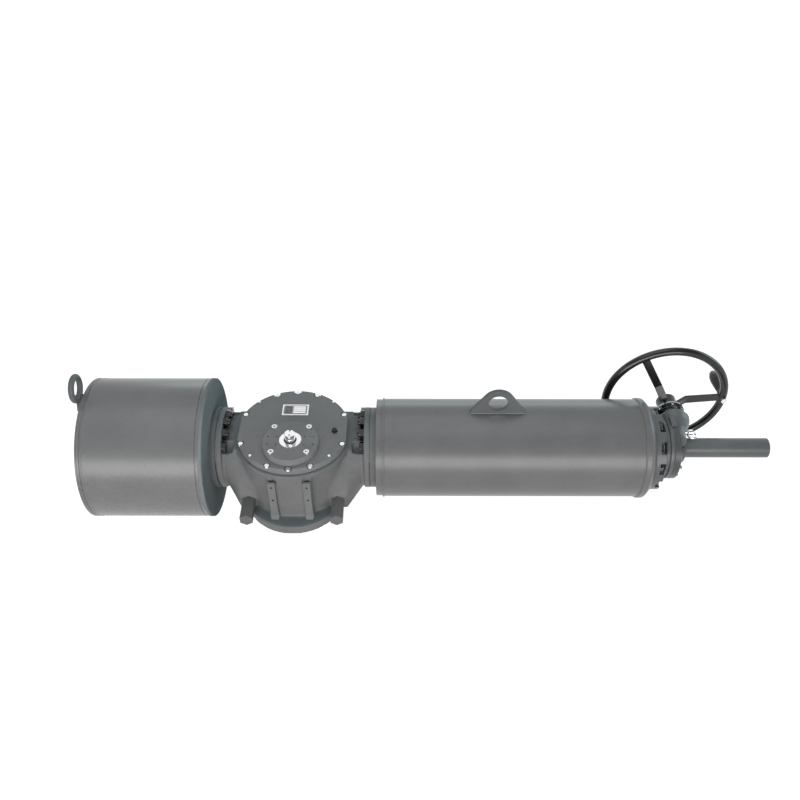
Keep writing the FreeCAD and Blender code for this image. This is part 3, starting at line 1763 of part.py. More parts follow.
slot_half = size.roller_radius + size.slot_play
rest_turn = FreeCAD.Rotation(Vector(0, 0, 1), -45)
column = upright(
    "yoke_column",
    [
        (0, size.hub_bottom),
        (size.hub_radius, size.hub_bottom),
        (size.hub_radius, size.valve_flange_thick + 1),
        (size.hub_radius + 6, size.valve_flange_thick + 1),
        (size.hub_radius + 6, axis_z - size.arm_gap),
        (size.upper_journal, axis_z - size.arm_gap + 6),
        (size.upper_journal, journal_top),
        (0, journal_top),
    ],
)
arm_points = [
    (-size.hub_radius + 8, -10),
    (size.hub_radius - 8, -10),
    (size.arm_half_width + 4, size.slot_start - 14),
    (size.arm_half_width, size.slot_start + 20),
    (size.arm_half_width, size.arm_reach - 14),
    (size.arm_half_width - 7, size.arm_reach),
    (-size.arm_half_width + 7, size.arm_reach),
    (-size.arm_half_width, size.arm_reach - 14),
    (-size.arm_half_width, size.slot_start + 20),
    (-size.arm_half_width - 4, size.slot_start - 14),
]
arm_levels = (axis_z - size.arm_gap - size.arm_thick, axis_z + size.arm_gap)
arms = [
    plate("arm_%d" % index, "XY_Plane", arm_points, size.arm_thick, 0, 0, level)
    for index, level in enumerate(arm_levels)
]
lug_reach = size.stop_offset + 3
arms += [
    rod("arm_hub_%d" % index, size.hub_radius - 4, size.arm_thick, 0, 0, level)
    for index, level in enumerate(arm_levels)
]
lug_low = size.stop_height - size.stop_bolt_radius + 1
lug_high = size.stop_height + size.stop_bolt_radius
lugs = []
for index, (quarter, sign) in enumerate(((45, 1), (135, 1))):
    lug = block("stop_lug_%d" % index, (0, -10, lug_low), (lug_reach, 10, lug_high))
    lug.Placement = FreeCAD.Placement(
        Vector(0, 0, lug_low.number), FreeCAD.Rotation(Vector(0, 0, 1), quarter), Vector(0, 0, 0)
    )
    turn = math.radians(quarter)
    lug.setExpression("Placement.Base.x", repr(10 * math.sin(turn)))
    lug.setExpression("Placement.Base.y", repr(-10 * math.cos(turn)))
    lug.setExpression("Placement.Base.z", lug_low.text)
    lugs.append(lug)
yoke_tools = [
    block(
        "slot_throat",
        (-slot_half, size.slot_start + slot_half, axis_z - 100),
        (slot_half, size.arm_reach + 40, axis_z + 70),
    ),
    rod("slot_end", slot_half, 170, 0, size.slot_start + slot_half, axis_z - 100),
    rod("stem_bore", size.hub_bore, 170, 0, 0, -5),
    block(
        "stem_keyway",
        (-size.hub_key_width / 2, 0, -5),
        (size.hub_key_width / 2, size.hub_bore + size.hub_key_deep, 165),
    ),
    rod("shaft_seat", size.shaft_body + 5, 60, 0, 0, 172),
]
yoke = cut("yoke", fuse("yoke_forging", [column] + arms + lugs), yoke_tools)
yoke.Placement = FreeCAD.Placement(Vector(0, 0, 0), rest_turn)
keep("yoke", yoke)

# Position shaft
# Carries the yoke's angle up through the pad to the accessory, with a slot across its top.

shaft_blank = upright(
    "shaft_blank",
    [
        (0, 172),
        (size.shaft_body + 5, 172),
        (size.shaft_body + 5, journal_top),
        (size.shaft_body + 11, journal_top),
        (size.shaft_body + 11, journal_top + 2.5),
        (size.shaft_body, journal_top + 2.5),
        (size.shaft_body, pad_top - 6),
        (size.shaft_radius, pad_top - 5.5),
        (size.shaft_radius, pad_top + 10),
        (size.shaft_radius - 3, pad_top + 12),
        (size.shaft_radius - 3, pad_top + 15),
        (size.shaft_radius, pad_top + 17),
        (size.shaft_radius, shaft_top - 1),
        (size.shaft_radius - 1, shaft_top),
        (0, shaft_top),
    ],
)
shaft_slot = block("shaft_slot", (-2.5, -30, shaft_top - 7), (2.5, 30, shaft_top + 5))
shaft_tap = rod("shaft_tap", 2.6, 30, 0, 0, shaft_top - 18)
keep("position_shaft", cut("position_shaft", shaft_blank, [shaft_slot, shaft_tap]))

# Handwheel
# Round rim on three flat spokes and a boss, with its shaft, nut and spinner grip.

boss_start = size.input_ring_place + size.input_ring_thick + 8
wheel_x = worm_place
rim = bind(doc.addObject("Part::Torus", "rim"), Radius1=size.rim_radius, Radius2=size.rim_section)
place(rim, wheel_x, size.rim_place, worm_z, ALONG["Y"])
boss = rod(
    "wheel_boss", size.wheel_boss_radius, size.wheel_boss_length, wheel_x, boss_start, worm_z, "Y"
)
wheel_parts = [rim, boss]
spoke_rise = size.rim_place - boss_start
for index in range(3):
    spoke = plate(
        "spoke_%d" % index,
        "XY_Plane",
        [
            (12, 6),
            (12, 6 + size.spoke_thick * 1.5),
            (62, spoke_rise - 8),
            (size.rim_radius, spoke_rise + size.spoke_thick / 2),
            (size.rim_radius, spoke_rise - size.spoke_thick / 2),
            (66, spoke_rise - 8 - size.spoke_thick * 1.2),
        ],
        size.spoke_width,
        wheel_x,
        boss_start,
        worm_z,
        FreeCAD.Rotation(Vector(0, 1, 0), -120 * index),
        middle=True,
    )
    wheel_parts.append(spoke)
wheel_tools = [
    rod("wheel_bore_hole", size.input_shaft, 80, wheel_x, boss_start - 10, worm_z, "Y"),
    rod("grip_hole", size.grip_pin, 60, wheel_x + size.rim_radius, size.rim_place - 30, worm_z, "Y"),
]
keep("handwheel", cut("handwheel", fuse("wheel_blank", wheel_parts), wheel_tools))

shaft_front = worm_y_front + 4
shaft_back = boss_start + size.wheel_boss_length + 14
worm_half = 16
worm_root = worm_pitch - size.gear_module * 1.1
worm_outer = worm_pitch + size.gear_module * 0.9
shaft_bar = rod("shaft_bar", size.input_shaft, shaft_back - shaft_front, wheel_x, shaft_front, worm_z, "Y")
worm_core = rod("worm_core", worm_root, worm_half * 2, wheel_x, axis_y - worm_half, worm_z, "Y")
lead = size.gear_module * math.pi
thread_body = doc.addObject("PartDesign::Body", "thread_body")
thread_sketch = outline(
    thread_body,
    "thread_section",
    "XZ_Plane",
    [
        (worm_root - 1, -size.tooth_thin * 0.75),
        (worm_outer, -size.tooth_thin * 0.3),
        (worm_outer, size.tooth_thin * 0.3),
        (worm_root - 1, size.tooth_thin * 0.75),
    ],
)
thread = thread_body.newObject("PartDesign::AdditiveHelix", "thread")
thread.Profile = thread_sketch
thread.ReferenceAxis = (thread_sketch, ["V_Axis"])
thread.Mode = 0
bind(thread, Pitch=lead, Height=lead * 4)
place(
    thread_body,
    wheel_x,
    axis_y - lead * 2,
    worm_z,
    ALONG["Y"].multiply(FreeCAD.Rotation(Vector(0, 0, 1), 90)),
)
keep("worm_shaft", fuse("worm_shaft", [shaft_bar, worm_core, thread_body]))

nut_start = boss_start + size.wheel_boss_length
nut_blank = hexagon("nut_blank", 30, 10, wheel_x, nut_start, worm_z, "Y")
nut_hole = rod("nut_hole", size.input_shaft, 40, wheel_x, nut_start - 5, worm_z, "Y")
keep("wheel_nut", cut("wheel_nut", nut_blank, [nut_hole]))

grip_x = wheel_x + size.rim_radius
grip_start = size.rim_place + size.rim_section + 3
grip_end = grip_start + size.grip_length
grip_nut = size.rim_place - size.rim_section
grip_pin = rod("grip_pin", size.grip_pin, grip_end + 1 - grip_nut, grip_x, grip_nut, worm_z, "Y")
grip_head = rod("grip_head", size.grip_pin + 3, 4, grip_x, grip_end + 0.3, worm_z, "Y")
grip_hex = hexagon("grip_hex", 17, 9, grip_x, grip_nut, worm_z, "-Y")
keep("grip_spindle", fuse("grip_spindle", [grip_pin, grip_head, grip_hex]))
grip_blank_body = doc.addObject("PartDesign::Body", "grip_blank")
grip_sketch = outline(
    grip_blank_body,
    "grip_profile",
    "XZ_Plane",
    [
        (size.grip_pin + size.run_gap, 0),
        (size.grip_radius * 0.7, 0),
        (size.grip_radius * 0.62, size.grip_length * 0.12),
        (size.grip_radius * 0.82, size.grip_length * 0.35),
        (size.grip_radius, size.grip_length * 0.62),
        (size.grip_radius * 0.97, size.grip_length * 0.8),
        (size.grip_radius * 0.7, size.grip_length * 0.96),
        (size.grip_radius * 0.4, size.grip_length),
        (size.grip_pin + size.run_gap, size.grip_length),
    ],
)
grip_turning = grip_blank_body.newObject("PartDesign::Revolution", "grip_turning")
grip_turning.Profile = grip_sketch
grip_turning.ReferenceAxis = (grip_sketch, ["V_Axis"])
grip_turning.Angle = 360
place(grip_blank_body, grip_x, grip_start, worm_z, ALONG["Y"])
keep("spinner_grip", grip_blank_body)

# Worm wheel and the two nut halves inside it
# The halves stand open round the spindle, so the piston moves freely until they are closed.

tooth_body = doc.addObject("PartDesign::Body", "tooth_body")
tooth_root = pitch_radius - size.gear_module * 1.1
tooth_sketch = outline(
    tooth_body,
    "tooth_section",
    "YZ_Plane",
    [
        (-size.tooth_thin * 0.75, tooth_root - 2),
        (size.tooth_thin * 0.75, tooth_root - 2),
        (size.tooth_thin * 0.3, wheel_outer),
        (-size.tooth_thin * 0.3, wheel_outer),
    ],
)
tooth_pad = tooth_body.newObject("PartDesign::Pad", "tooth_pad")
tooth_pad.Profile = tooth_sketch
bind(tooth_pad, Length=size.wheel_face)
tooth_pad.Midplane = True
doc.recompute()
teeth = tooth_body.newObject("PartDesign::PolarPattern", "teeth")
teeth.Originals = [tooth_pad]
teeth.Axis = (origin_part(tooth_body, "X_Axis"), [""])
teeth.Angle = 360
bind(teeth, Occurrences=size.wheel_teeth)
tooth_body.Tip = teeth
half_tooth = 180.0 / size.wheel_teeth.number
place(
    tooth_body,
    worm_place,
    axis_y,
    axis_z,
    FreeCAD.Rotation(Vector(1, 0, 0), half_tooth),
)
wheel_disc = turned(
    "wheel_disc",
    [
        (-size.wheel_hub_left, size.wheel_bore),
        (size.wheel_hub_right, size.wheel_bore),
        (size.wheel_hub_right, size.wheel_hub_radius),
        (size.wheel_face / 2, size.wheel_hub_radius),
        (size.wheel_face / 2, tooth_root),
        (-size.wheel_face / 2, tooth_root),
        (-size.wheel_face / 2, size.wheel_hub_radius),
        (-size.wheel_hub_left, size.wheel_hub_radius),
    ],
    worm_place,
)
keep("worm_wheel", fuse("worm_wheel", [wheel_disc, tooth_body]))
nut_inner = size.spindle_radius + size.nut_clear
nut_outer = size.wheel_bore
for name, low, high in (
    ("nut_half_upper", size.side_gap, 40),
    ("nut_half_lower", -40, -size.side_gap),
):
    tube = ring(
        name + "_tube", nut_outer, nut_inner, wheel_start + 4, wheel_stop - 4
    )
    slab = block(
        name + "_slab", (wheel_start, axis_y - 40, axis_z + low), (wheel_stop, axis_y + 40, axis_z + high)
    )
    keep(name, common(name, [tube, slab]))

# Declutch lever
# A short arm with a bright ring on the side of the worm's housing, which closes the nut halves.

lever_face = worm_place + size.lever_stand
lever_end = lever_face + size.lever_hub_width
lever_shaft = rod(
    "lever_shaft", size.lever_shaft, lever_end - lever_start, lever_start, size.lever_y, size.lever_z, "X"
)
lever_hub = rod("lever_hub", size.lever_shaft + 2, size.lever_hub_width, lever_face, size.lever_y, size.lever_z, "X")
lever_ring = bind(
    doc.addObject("Part::Torus", "lever_ring"), Radius1=size.lever_ring, Radius2=size.lever_ring_section
)
place(lever_ring, lever_end - 4, size.lever_y - size.lever_ring, size.lever_z)
keep("declutch_lever", fuse("declutch_lever", [lever_shaft, lever_hub, lever_ring]))

doc.recompute()

failed = [thing.Name for thing in doc.Objects if "Invalid" in thing.State or "Error" in thing.State]
if failed:
    raise RuntimeError("objects that failed: " + ", ".join(failed))
for piece in pieces:
    if piece.Shape.isNull() or not piece.Shape.isValid():
        raise RuntimeError("no valid shape: " + piece.Label)

os.makedirs("parts", exist_ok=True)
for piece in pieces:
    piece.Shape.exportStep("parts/%s.step" % piece.Label)
print("%d nodes, %d solids" % (len(pieces), sum(len(piece.Shape.Solids) for piece in pieces)))
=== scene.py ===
import math
import bpy
import bmesh
from mathutils import Matrix, Vector


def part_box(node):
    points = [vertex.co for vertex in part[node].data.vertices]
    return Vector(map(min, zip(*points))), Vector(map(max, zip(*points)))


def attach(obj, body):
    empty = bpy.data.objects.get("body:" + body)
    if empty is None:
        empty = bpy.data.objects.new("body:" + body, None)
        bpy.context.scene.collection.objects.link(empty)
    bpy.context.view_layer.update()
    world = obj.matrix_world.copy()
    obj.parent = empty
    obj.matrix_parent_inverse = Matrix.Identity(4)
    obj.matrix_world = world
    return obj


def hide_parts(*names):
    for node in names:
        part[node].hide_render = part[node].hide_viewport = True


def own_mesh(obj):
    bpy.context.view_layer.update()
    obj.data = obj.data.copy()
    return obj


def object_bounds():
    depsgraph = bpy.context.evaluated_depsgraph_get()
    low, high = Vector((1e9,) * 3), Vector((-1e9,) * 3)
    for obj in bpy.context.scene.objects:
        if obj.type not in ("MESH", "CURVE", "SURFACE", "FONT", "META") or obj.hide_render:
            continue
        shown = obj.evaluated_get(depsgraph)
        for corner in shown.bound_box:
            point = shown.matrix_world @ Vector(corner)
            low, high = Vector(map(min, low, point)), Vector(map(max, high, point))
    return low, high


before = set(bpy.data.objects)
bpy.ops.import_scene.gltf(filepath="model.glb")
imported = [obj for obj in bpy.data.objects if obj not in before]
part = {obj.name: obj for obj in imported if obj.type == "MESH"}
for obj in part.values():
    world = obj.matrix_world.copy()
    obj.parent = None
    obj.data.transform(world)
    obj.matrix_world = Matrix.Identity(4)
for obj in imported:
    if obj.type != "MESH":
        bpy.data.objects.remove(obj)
cad_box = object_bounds()


# The studio: a seamless white table under the actuator, a wide soft box in front of it that stands
# on the table, a large one overhead and weaker ones to the left, behind and to the right. The
# camera looks down at the housing from the front.
def set_down(name, data):
    thing = bpy.data.objects.new(name, data)
    bpy.context.scene.collection.objects.link(thing)
    return thing


def lamp(name, place, look, wide, high, watts, colour):
    light = bpy.data.lights.new(name, "AREA")
    light.shape = "RECTANGLE"
    light.size = wide
    light.size_y = high
    light.energy = watts
    light.color = colour
    aim = Vector(look) - Vector(place)
    turn = aim.to_track_quat("-Z", "Y").to_matrix().to_4x4()
    set_down(name, light).matrix_world = Matrix.Translation(place) @ turn


lamp("front_box", place=(0.2, -3.4, 0.78), look=(0.2, 0.1, 0.1), wide=4.8, high=1.52, watts=128,
     colour=(1.0, 0.995, 0.985))
lamp("left_front_box", place=(-2.2, -2.6, 1.1), look=(0.1, 0.0, 0.05), wide=1.2, high=1.2, watts=7,
     colour=(1.0, 1.0, 1.0))
lamp("top_box", place=(0.1, 0.3, 3.0), look=(0.2, 0.1, 0.0), wide=3.2, high=2.6, watts=34,
     colour=(0.98, 0.99, 1.0))
lamp("back_box", place=(0.6, 3.2, 0.9), look=(0.3, 0.1, 0.1), wide=3.8, high=0.8, watts=22,
     colour=(0.82, 0.97, 1.0))
lamp("right_box", place=(2.9, 0.9, 0.9), look=(-0.2, 0.1, 0.1), wide=1.2, high=1.2, watts=12,
     colour=(0.62, 0.93, 1.0))

camera_data = bpy.data.cameras.new("camera")
camera_data.lens = 38.51
camera_data.sensor_width = 36.0
camera_data.clip_start = 0.01
camera_data.clip_end = 50.0
camera_place = (0.3124, -1.7157, 1.9747)
camera_tilt = Matrix.Rotation(math.radians(47.39), 4, "X")
camera_roll = Matrix.Rotation(math.radians(0.11), 4, "Z")
camera = set_down("camera", camera_data)
camera.matrix_world = Matrix.Translation(camera_place) @ camera_tilt @ camera_roll
bpy.context.scene.camera = camera
bpy.context.scene.view_settings.view_transform = "Standard"


def maths(tree, operation, first, second):
    node = tree.nodes.new("ShaderNodeMath")
    node.operation = operation
    for socket, value in zip(node.inputs, (first, second)):
        if isinstance(value, (int, float)):
            socket.default_value = value
        else:
            tree.links.new(value, socket)
    return node.outputs["Value"]


def spread(tree, value, span, onto):
    """The value, with the two ends of its span laid onto two other levels."""
    node = tree.nodes.new("ShaderNodeMapRange")
    for label, number in zip(("From Min", "From Max", "To Min", "To Max"), (*span, *onto)):
        node.inputs[label].default_value = number
    tree.links.new(value, node.inputs["Value"])
    return node.outputs["Result"]


def seen_rays(tree):
    """1 for the rays that show the white background: to the camera, a gloss or through glass."""
    path = tree.nodes.new("ShaderNodeLightPath")
    seen = path.outputs["Is Camera Ray"]
    for ray in ("Is Glossy Ray", "Is Transmission Ray"):
        seen = maths(tree, "MAXIMUM", seen, path.outputs[ray])
    return seen


# The camera sees plain white at strength 1. A gloss sees the white wall all round too, and in front
# of it the dim ceiling above the soft box. The object is lit by a weak grey from all sides.
sky = bpy.data.worlds.new("studio_white")
sky.use_nodes = True
bpy.context.scene.world = sky
room = sky.node_tree
room.nodes.clear()
sky_out = room.nodes.new("ShaderNodeOutputWorld")
sky_mix = room.nodes.new("ShaderNodeMixShader")
sky_white = room.nodes.new("ShaderNodeBackground")
sky_white.inputs["Color"].default_value = (1.0, 1.0, 1.0, 1.0)
sky_grey = room.nodes.new("ShaderNodeBackground")
sky_grey.inputs["Color"].default_value = (0.97, 0.985, 1.0, 1.0)
sky_grey.inputs["Strength"].default_value = 0.27
room.links.new(seen_rays(room), sky_mix.inputs["Fac"])
sky_axes = room.nodes.new("ShaderNodeSeparateXYZ")
room.links.new(room.nodes.new("ShaderNodeTexCoord").outputs["Generated"], sky_axes.inputs["Vector"])
wall_level, ceiling_level = 1.0, 0.25
wall_fades, back_starts = (0.36, 0.50), (0.15, 0.55)
sky_wall = spread(room, sky_axes.outputs["Z"], wall_fades, (wall_level, ceiling_level))
sky_back = spread(room, sky_axes.outputs["Y"], back_starts, (ceiling_level, wall_level))
sky_seen = room.nodes.new("ShaderNodeLightPath").outputs["Is Camera Ray"]
sky_level = maths(room, "MAXIMUM", maths(room, "MAXIMUM", sky_wall, sky_back), sky_seen)
room.links.new(sky_level, sky_white.inputs["Strength"])
room.links.new(sky_grey.outputs["Background"], sky_mix.inputs[1])
room.links.new(sky_white.outputs["Background"], sky_mix.inputs[2])
room.links.new(sky_mix.outputs["Shader"], sky_out.inputs["Surface"])

# The table stands just under the lowest point. Its paper glows white to the same rays, and its dull
# face underneath keeps the shadow.
table_gap, table_half, table_middle = 0.004, 9.0, (0.3, 1.0)
table_mesh = bmesh.new()
bmesh.ops.create_grid(table_mesh, x_segments=8, y_segments=8, size=table_half)
table_data = bpy.data.meshes.new("table")
table_mesh.to_mesh(table_data)
table_mesh.free()
table = set_down("table", table_data)
table.location = (*table_middle, cad_box[0][2] - table_gap)
table_paper = bpy.data.materials.new("white_table_paper")
table_paper.use_nodes = True
paper = table_paper.node_tree
paper.nodes.clear()
paper_out = paper.nodes.new("ShaderNodeOutputMaterial")
paper_face = paper.nodes.new("ShaderNodeBsdfDiffuse")
paper_face.inputs["Color"].default_value = (0.26, 0.26, 0.26, 1.0)
paper_glow = paper.nodes.new("ShaderNodeEmission")
paper_glow.inputs["Color"].default_value = (1.0, 1.0, 1.0, 1.0)
paper_glow.inputs["Strength"].default_value = 0.97
paper_sum = paper.nodes.new("ShaderNodeAddShader")
paper_mix = paper.nodes.new("ShaderNodeMixShader")
paper.links.new(paper_face.outputs["BSDF"], paper_sum.inputs[0])
paper.links.new(paper_glow.outputs["Emission"], paper_sum.inputs[1])
paper.links.new(seen_rays(paper), paper_mix.inputs["Fac"])
paper.links.new(paper_face.outputs["BSDF"], paper_mix.inputs[1])
paper.links.new(paper_sum.outputs["Shader"], paper_mix.inputs[2])
paper.links.new(paper_mix.outputs["Shader"], paper_out.inputs["Surface"])
table_data.materials.append(table_paper)


# The housing: one grey iron casting with the valve flange under it, a neck to each side and the
# two stop bosses at the front. It is shot-blasted, sprayed with grey enamel and baked, so the
# sand's grain shows through the paint and the enamel thins along the edges.
def open_group(name, takes, gives):
    group = bpy.data.node_groups.new(name, "ShaderNodeTree")
    for label, kind, value in takes:
        socket = group.interface.new_socket(label, in_out="INPUT", socket_type=kind)
        socket.default_value = value
    for label, kind in gives:
        group.interface.new_socket(label, in_out="OUTPUT", socket_type=kind)
    return group, group.nodes.new("NodeGroupInput"), group.nodes.new("NodeGroupOutput")


def blend_of(tree, amount, first, second, blend="MIX"):
    node = tree.nodes.new("ShaderNodeMix")
    node.data_type = "RGBA"
    node.blend_type = blend
    node.clamp_result = False
    factor, colour_a, colour_b, colour_out = 0, 6, 7, 2
    for index, value in ((factor, amount), (colour_a, first), (colour_b, second)):
        if isinstance(value, (int, float, tuple)):
            node.inputs[index].default_value = value
        else:
            tree.links.new(value, node.inputs[index])
    return node.outputs[colour_out]


def noise(tree, scale, detail, rough):
    node = tree.nodes.new("ShaderNodeTexNoise")
    node.inputs["Detail"].default_value = detail
    node.inputs["Roughness"].default_value = rough
    if isinstance(scale, (int, float)):
        node.inputs["Scale"].default_value = scale
    else:
        tree.links.new(scale, node.inputs["Scale"])
    tree.links.new(tree.nodes.new("ShaderNodeTexCoord").outputs["Object"], node.inputs["Vector"])
    return node.outputs["Fac"]


# edge_round: the small radius that a real edge has, and a mask that is 1 along edges.
edge_round, edge_in, edge_out = open_group(
    "edge_round",
    [("Radius", "NodeSocketFloat", 0.0015)],
    [("Normal", "NodeSocketVector"), ("Edge", "NodeSocketFloat")])
edge_bevel = edge_round.nodes.new("ShaderNodeBevel")
edge_bevel.samples = 6
edge_true = edge_round.nodes.new("ShaderNodeNewGeometry")
edge_dot = edge_round.nodes.new("ShaderNodeVectorMath")
edge_dot.operation = "DOT_PRODUCT"
edge_round.links.new(edge_in.outputs["Radius"], edge_bevel.inputs["Radius"])
edge_round.links.new(edge_bevel.outputs["Normal"], edge_dot.inputs[0])
edge_round.links.new(edge_true.outputs["Normal"], edge_dot.inputs[1])
edge_mask = spread(edge_round, edge_dot.outputs["Value"], (0.99, 0.80), (0.0, 1.0))
edge_round.links.new(edge_bevel.outputs["Normal"], edge_out.inputs["Normal"])
edge_round.links.new(edge_mask, edge_out.inputs["Edge"])

# sprayed_enamel: paint over a cast or rolled surface, with its clouds, flecks, grain and pits, a
# film on its upward faces that is settled dust tinted teal as painted light from above, and the
# paler metal where an edge is rubbed.
spray, spray_in, spray_out = open_group(
    "sprayed_enamel",
    [("Paint", "NodeSocketColor", (0.165, 0.170, 0.174, 1.0)),
     ("Grain size", "NodeSocketFloat", 420.0),
     ("Grain depth", "NodeSocketFloat", 1.0),
     ("Gloss", "NodeSocketFloat", 0.42),
     ("Edge", "NodeSocketFloat", 0.0),
     ("Film", "NodeSocketColor", (0.150, 0.178, 0.184, 1.0)),
     ("Film cover", "NodeSocketFloat", 0.35)],
    [("Colour", "NodeSocketColor"),
     ("Roughness", "NodeSocketFloat"),
     ("Height", "NodeSocketFloat")])
spray_depth = spray_in.outputs["Grain depth"]
spray_cloud = noise(spray, scale=9.0, detail=4.0, rough=0.55)
spray_mottle = noise(spray, scale=70.0, detail=3.0, rough=0.6)
spray_grain = noise(spray, scale=spray_in.outputs["Grain size"], detail=2.0, rough=0.6)
spray_pits = noise(spray, scale=160.0, detail=4.0, rough=0.7)
spray_tone = spread(spray, spray_cloud, (0.3, 0.7), (0.93, 1.07))
spray_fleck = spread(spray, spray_mottle, (0.3, 0.7), (0.965, 1.035))
spray_deep = maths(spray, "MULTIPLY", spread(spray, spray_pits, (0.27, 0.36), (-0.14, 0.0)),
                   spray_depth)
spray_all = maths(spray, "MULTIPLY", maths(spray, "MULTIPLY", spray_tone, spray_fleck),
                  maths(spray, "ADD", spray_deep, 1.0))
spray_grey = spray.nodes.new("ShaderNodeCombineColor")
for channel in ("Red", "Green", "Blue"):
    spray.links.new(spray_all, spray_grey.inputs[channel])
spray_base = blend_of(spray, 1.0, spray_in.outputs["Paint"], spray_grey.outputs["Color"],
                      "MULTIPLY")
spray_split = spray.nodes.new("ShaderNodeSeparateXYZ")
spray.links.new(spray.nodes.new("ShaderNodeNewGeometry").outputs["Normal"],
                spray_split.inputs["Vector"])
# Upward faces take the film colour: settled dust, and a teal tint that is painted light from above.
spray_up = spread(spray, spray_split.outputs["Z"], (0.35, 1.0), (0.0, 1.0))
spray_settle_and_top_light = maths(spray, "MULTIPLY", spray_up,
                     spread(spray, spray_cloud, (0.3, 0.75), (0.5, 1.0)))
spray_dust_and_top_light_share = maths(spray, "MULTIPLY", spray_settle_and_top_light, spray_in.outputs["Film cover"])
spray_dust_and_top_lit = blend_of(spray, spray_dust_and_top_light_share, spray_base, spray_in.outputs["Film"])
spray_rub = maths(spray, "MULTIPLY", spray_in.outputs["Edge"],
                  spread(spray, spray_mottle, (0.42, 0.60), (0.1, 0.75)))
rubbed_grey, film_dulls, pit_share = (0.275, 0.283, 0.288, 1.0), 0.18, 0.35
spray_worn = blend_of(spray, spray_rub, spray_dust_and_top_lit, rubbed_grey)
spray_rough = maths(spray, "ADD", spray_in.outputs["Gloss"],
                    spread(spray, spray_mottle, (0.3, 0.7), (-0.02, 0.02)))
spray_rough = maths(spray, "ADD", spray_rough, maths(spray, "MULTIPLY", spray_dust_and_top_light_share, film_dulls))
spray_height = maths(spray, "ADD", spray_grain, maths(spray, "MULTIPLY", spray_pits, pit_share))
spray_height = maths(spray, "MULTIPLY", spray_height, spray_depth)
spray.links.new(spray_worn, spray_out.inputs["Colour"])
spray.links.new(spray_rough, spray_out.inputs["Roughness"])
spray.links.new(spray_height, spray_out.inputs["Height"])


def finish_from(name, group, metallic, shine, radius, strength, relief, **values):
    """A material with the group's colour, gloss and relief, and with its edges rounded and worn."""
    finish = bpy.data.materials.new(name)
    finish.use_nodes = True
    tree = finish.node_tree
    shader = tree.nodes["Principled BSDF"]
    shader.inputs["Metallic"].default_value = metallic
    shader.inputs["Specular IOR Level"].default_value = shine
    edges = tree.nodes.new("ShaderNodeGroup")
    edges.node_tree = edge_round
    edges.inputs["Radius"].default_value = radius
    look = tree.nodes.new("ShaderNodeGroup")
    look.node_tree = group
    for label, value in values.items():
        look.inputs[label.replace("_", " ")].default_value = value
    bump = tree.nodes.new("ShaderNodeBump")
    bump.inputs["Strength"].default_value = strength
    bump.inputs["Distance"].default_value = relief
    tree.links.new(edges.outputs["Edge"], look.inputs["Edge"])
    tree.links.new(look.outputs["Colour"], shader.inputs["Base Color"])
    tree.links.new(look.outputs["Roughness"], shader.inputs["Roughness"])
    tree.links.new(look.outputs["Height"], bump.inputs["Height"])
    tree.links.new(edges.outputs["Normal"], bump.inputs["Normal"])
    tree.links.new(bump.outputs["Normal"], shader.inputs["Normal"])
    return finish


def enamel(name, paint, grain, depth, gloss, film, radius, strength, dust_and_top_light=(0.150, 0.178, 0.184),
           shine=0.10):
    return finish_from(name, spray, metallic=0.0, shine=shine, radius=radius, strength=strength,
                       relief=0.0006, Paint=(*paint, 1.0), Grain_size=grain, Grain_depth=depth,
                       Gloss=gloss, Film=(*dust_and_top_light, 1.0), Film_cover=film)


def dress(finish, *names):
    for name in names:
        piece = part[name]
        if not piece.data.materials:
            piece.data.materials.append(None)
        for slot in piece.material_slots:
            slot.link = "OBJECT"
            slot.material = finish


def coat(data, finish):
    data.materials.append(finish)
    for face in data.polygons:
        face.use_smooth = True


housing_enamel = enamel("housing_enamel", (0.162, 0.162, 0.164), grain=340.0, depth=1.0, gloss=0.44,
                        film=0.75, radius=0.0022, strength=0.45, dust_and_top_light=(0.112, 0.152, 0.160))
dress(housing_enamel, "housing")

# The casting as it leaves the mould: every edge has a small radius, and between the valve flange
# and the faced top the radii are larger.
skin_voxel = 0.003
edge_passes, mould_passes = 3, 11
mould_low, mould_high = 0.032, 0.1585
casting = set_down("housing_casting", part["housing"].data.copy())
grid = casting.modifiers.new("grid", "REMESH")
grid.mode = "VOXEL"
grid.voxel_size = skin_voxel
casting_data = bpy.data.meshes.new_from_object(
    casting.evaluated_get(bpy.context.evaluated_depsgraph_get()))
casting.modifiers.clear()
skin = bmesh.new()
skin.from_mesh(casting_data)
moulded = [corner for corner in skin.verts if mould_low < corner.co.z < mould_high]
for corners, passes in ((skin.verts, edge_passes), (moulded, mould_passes)):
    for _ in range(passes):
        bmesh.ops.smooth_vert(skin, verts=corners, factor=0.5, use_axis_x=True, use_axis_y=True,
                              use_axis_z=True)
skin.to_mesh(casting_data)
skin.free()
casting.data = casting_data
casting_data.materials.clear()
coat(casting_data, housing_enamel)
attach(casting, "frame")
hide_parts("housing")

# Bushes of the housing: bearing bronze, turned, pressed into the casting and reamed. They carry the
# yoke's hubs below and above, and the two rods in the necks.
# bare_metal: turned, ground or plated metal, with fine tool marks, a cloudy tone and a paler edge
# colour: rubbed metal, and on the dark bolts and the input ring a painted glint.
bare, bare_in, bare_out = open_group(
    "bare_metal",
    [("Metal", "NodeSocketColor", (0.5, 0.5, 0.5, 1.0)),
     ("Shade", "NodeSocketColor", (0.3, 0.3, 0.3, 1.0)),
     ("Mark size", "NodeSocketFloat", 900.0),
     ("Gloss", "NodeSocketFloat", 0.3),
     ("Edge", "NodeSocketFloat", 0.0),
     ("Edge metal", "NodeSocketColor", (0.6, 0.6, 0.6, 1.0))],
    [("Colour", "NodeSocketColor"),
     ("Roughness", "NodeSocketFloat"),
     ("Height", "NodeSocketFloat")])
bare_cloud = noise(bare, scale=45.0, detail=4.0, rough=0.6)
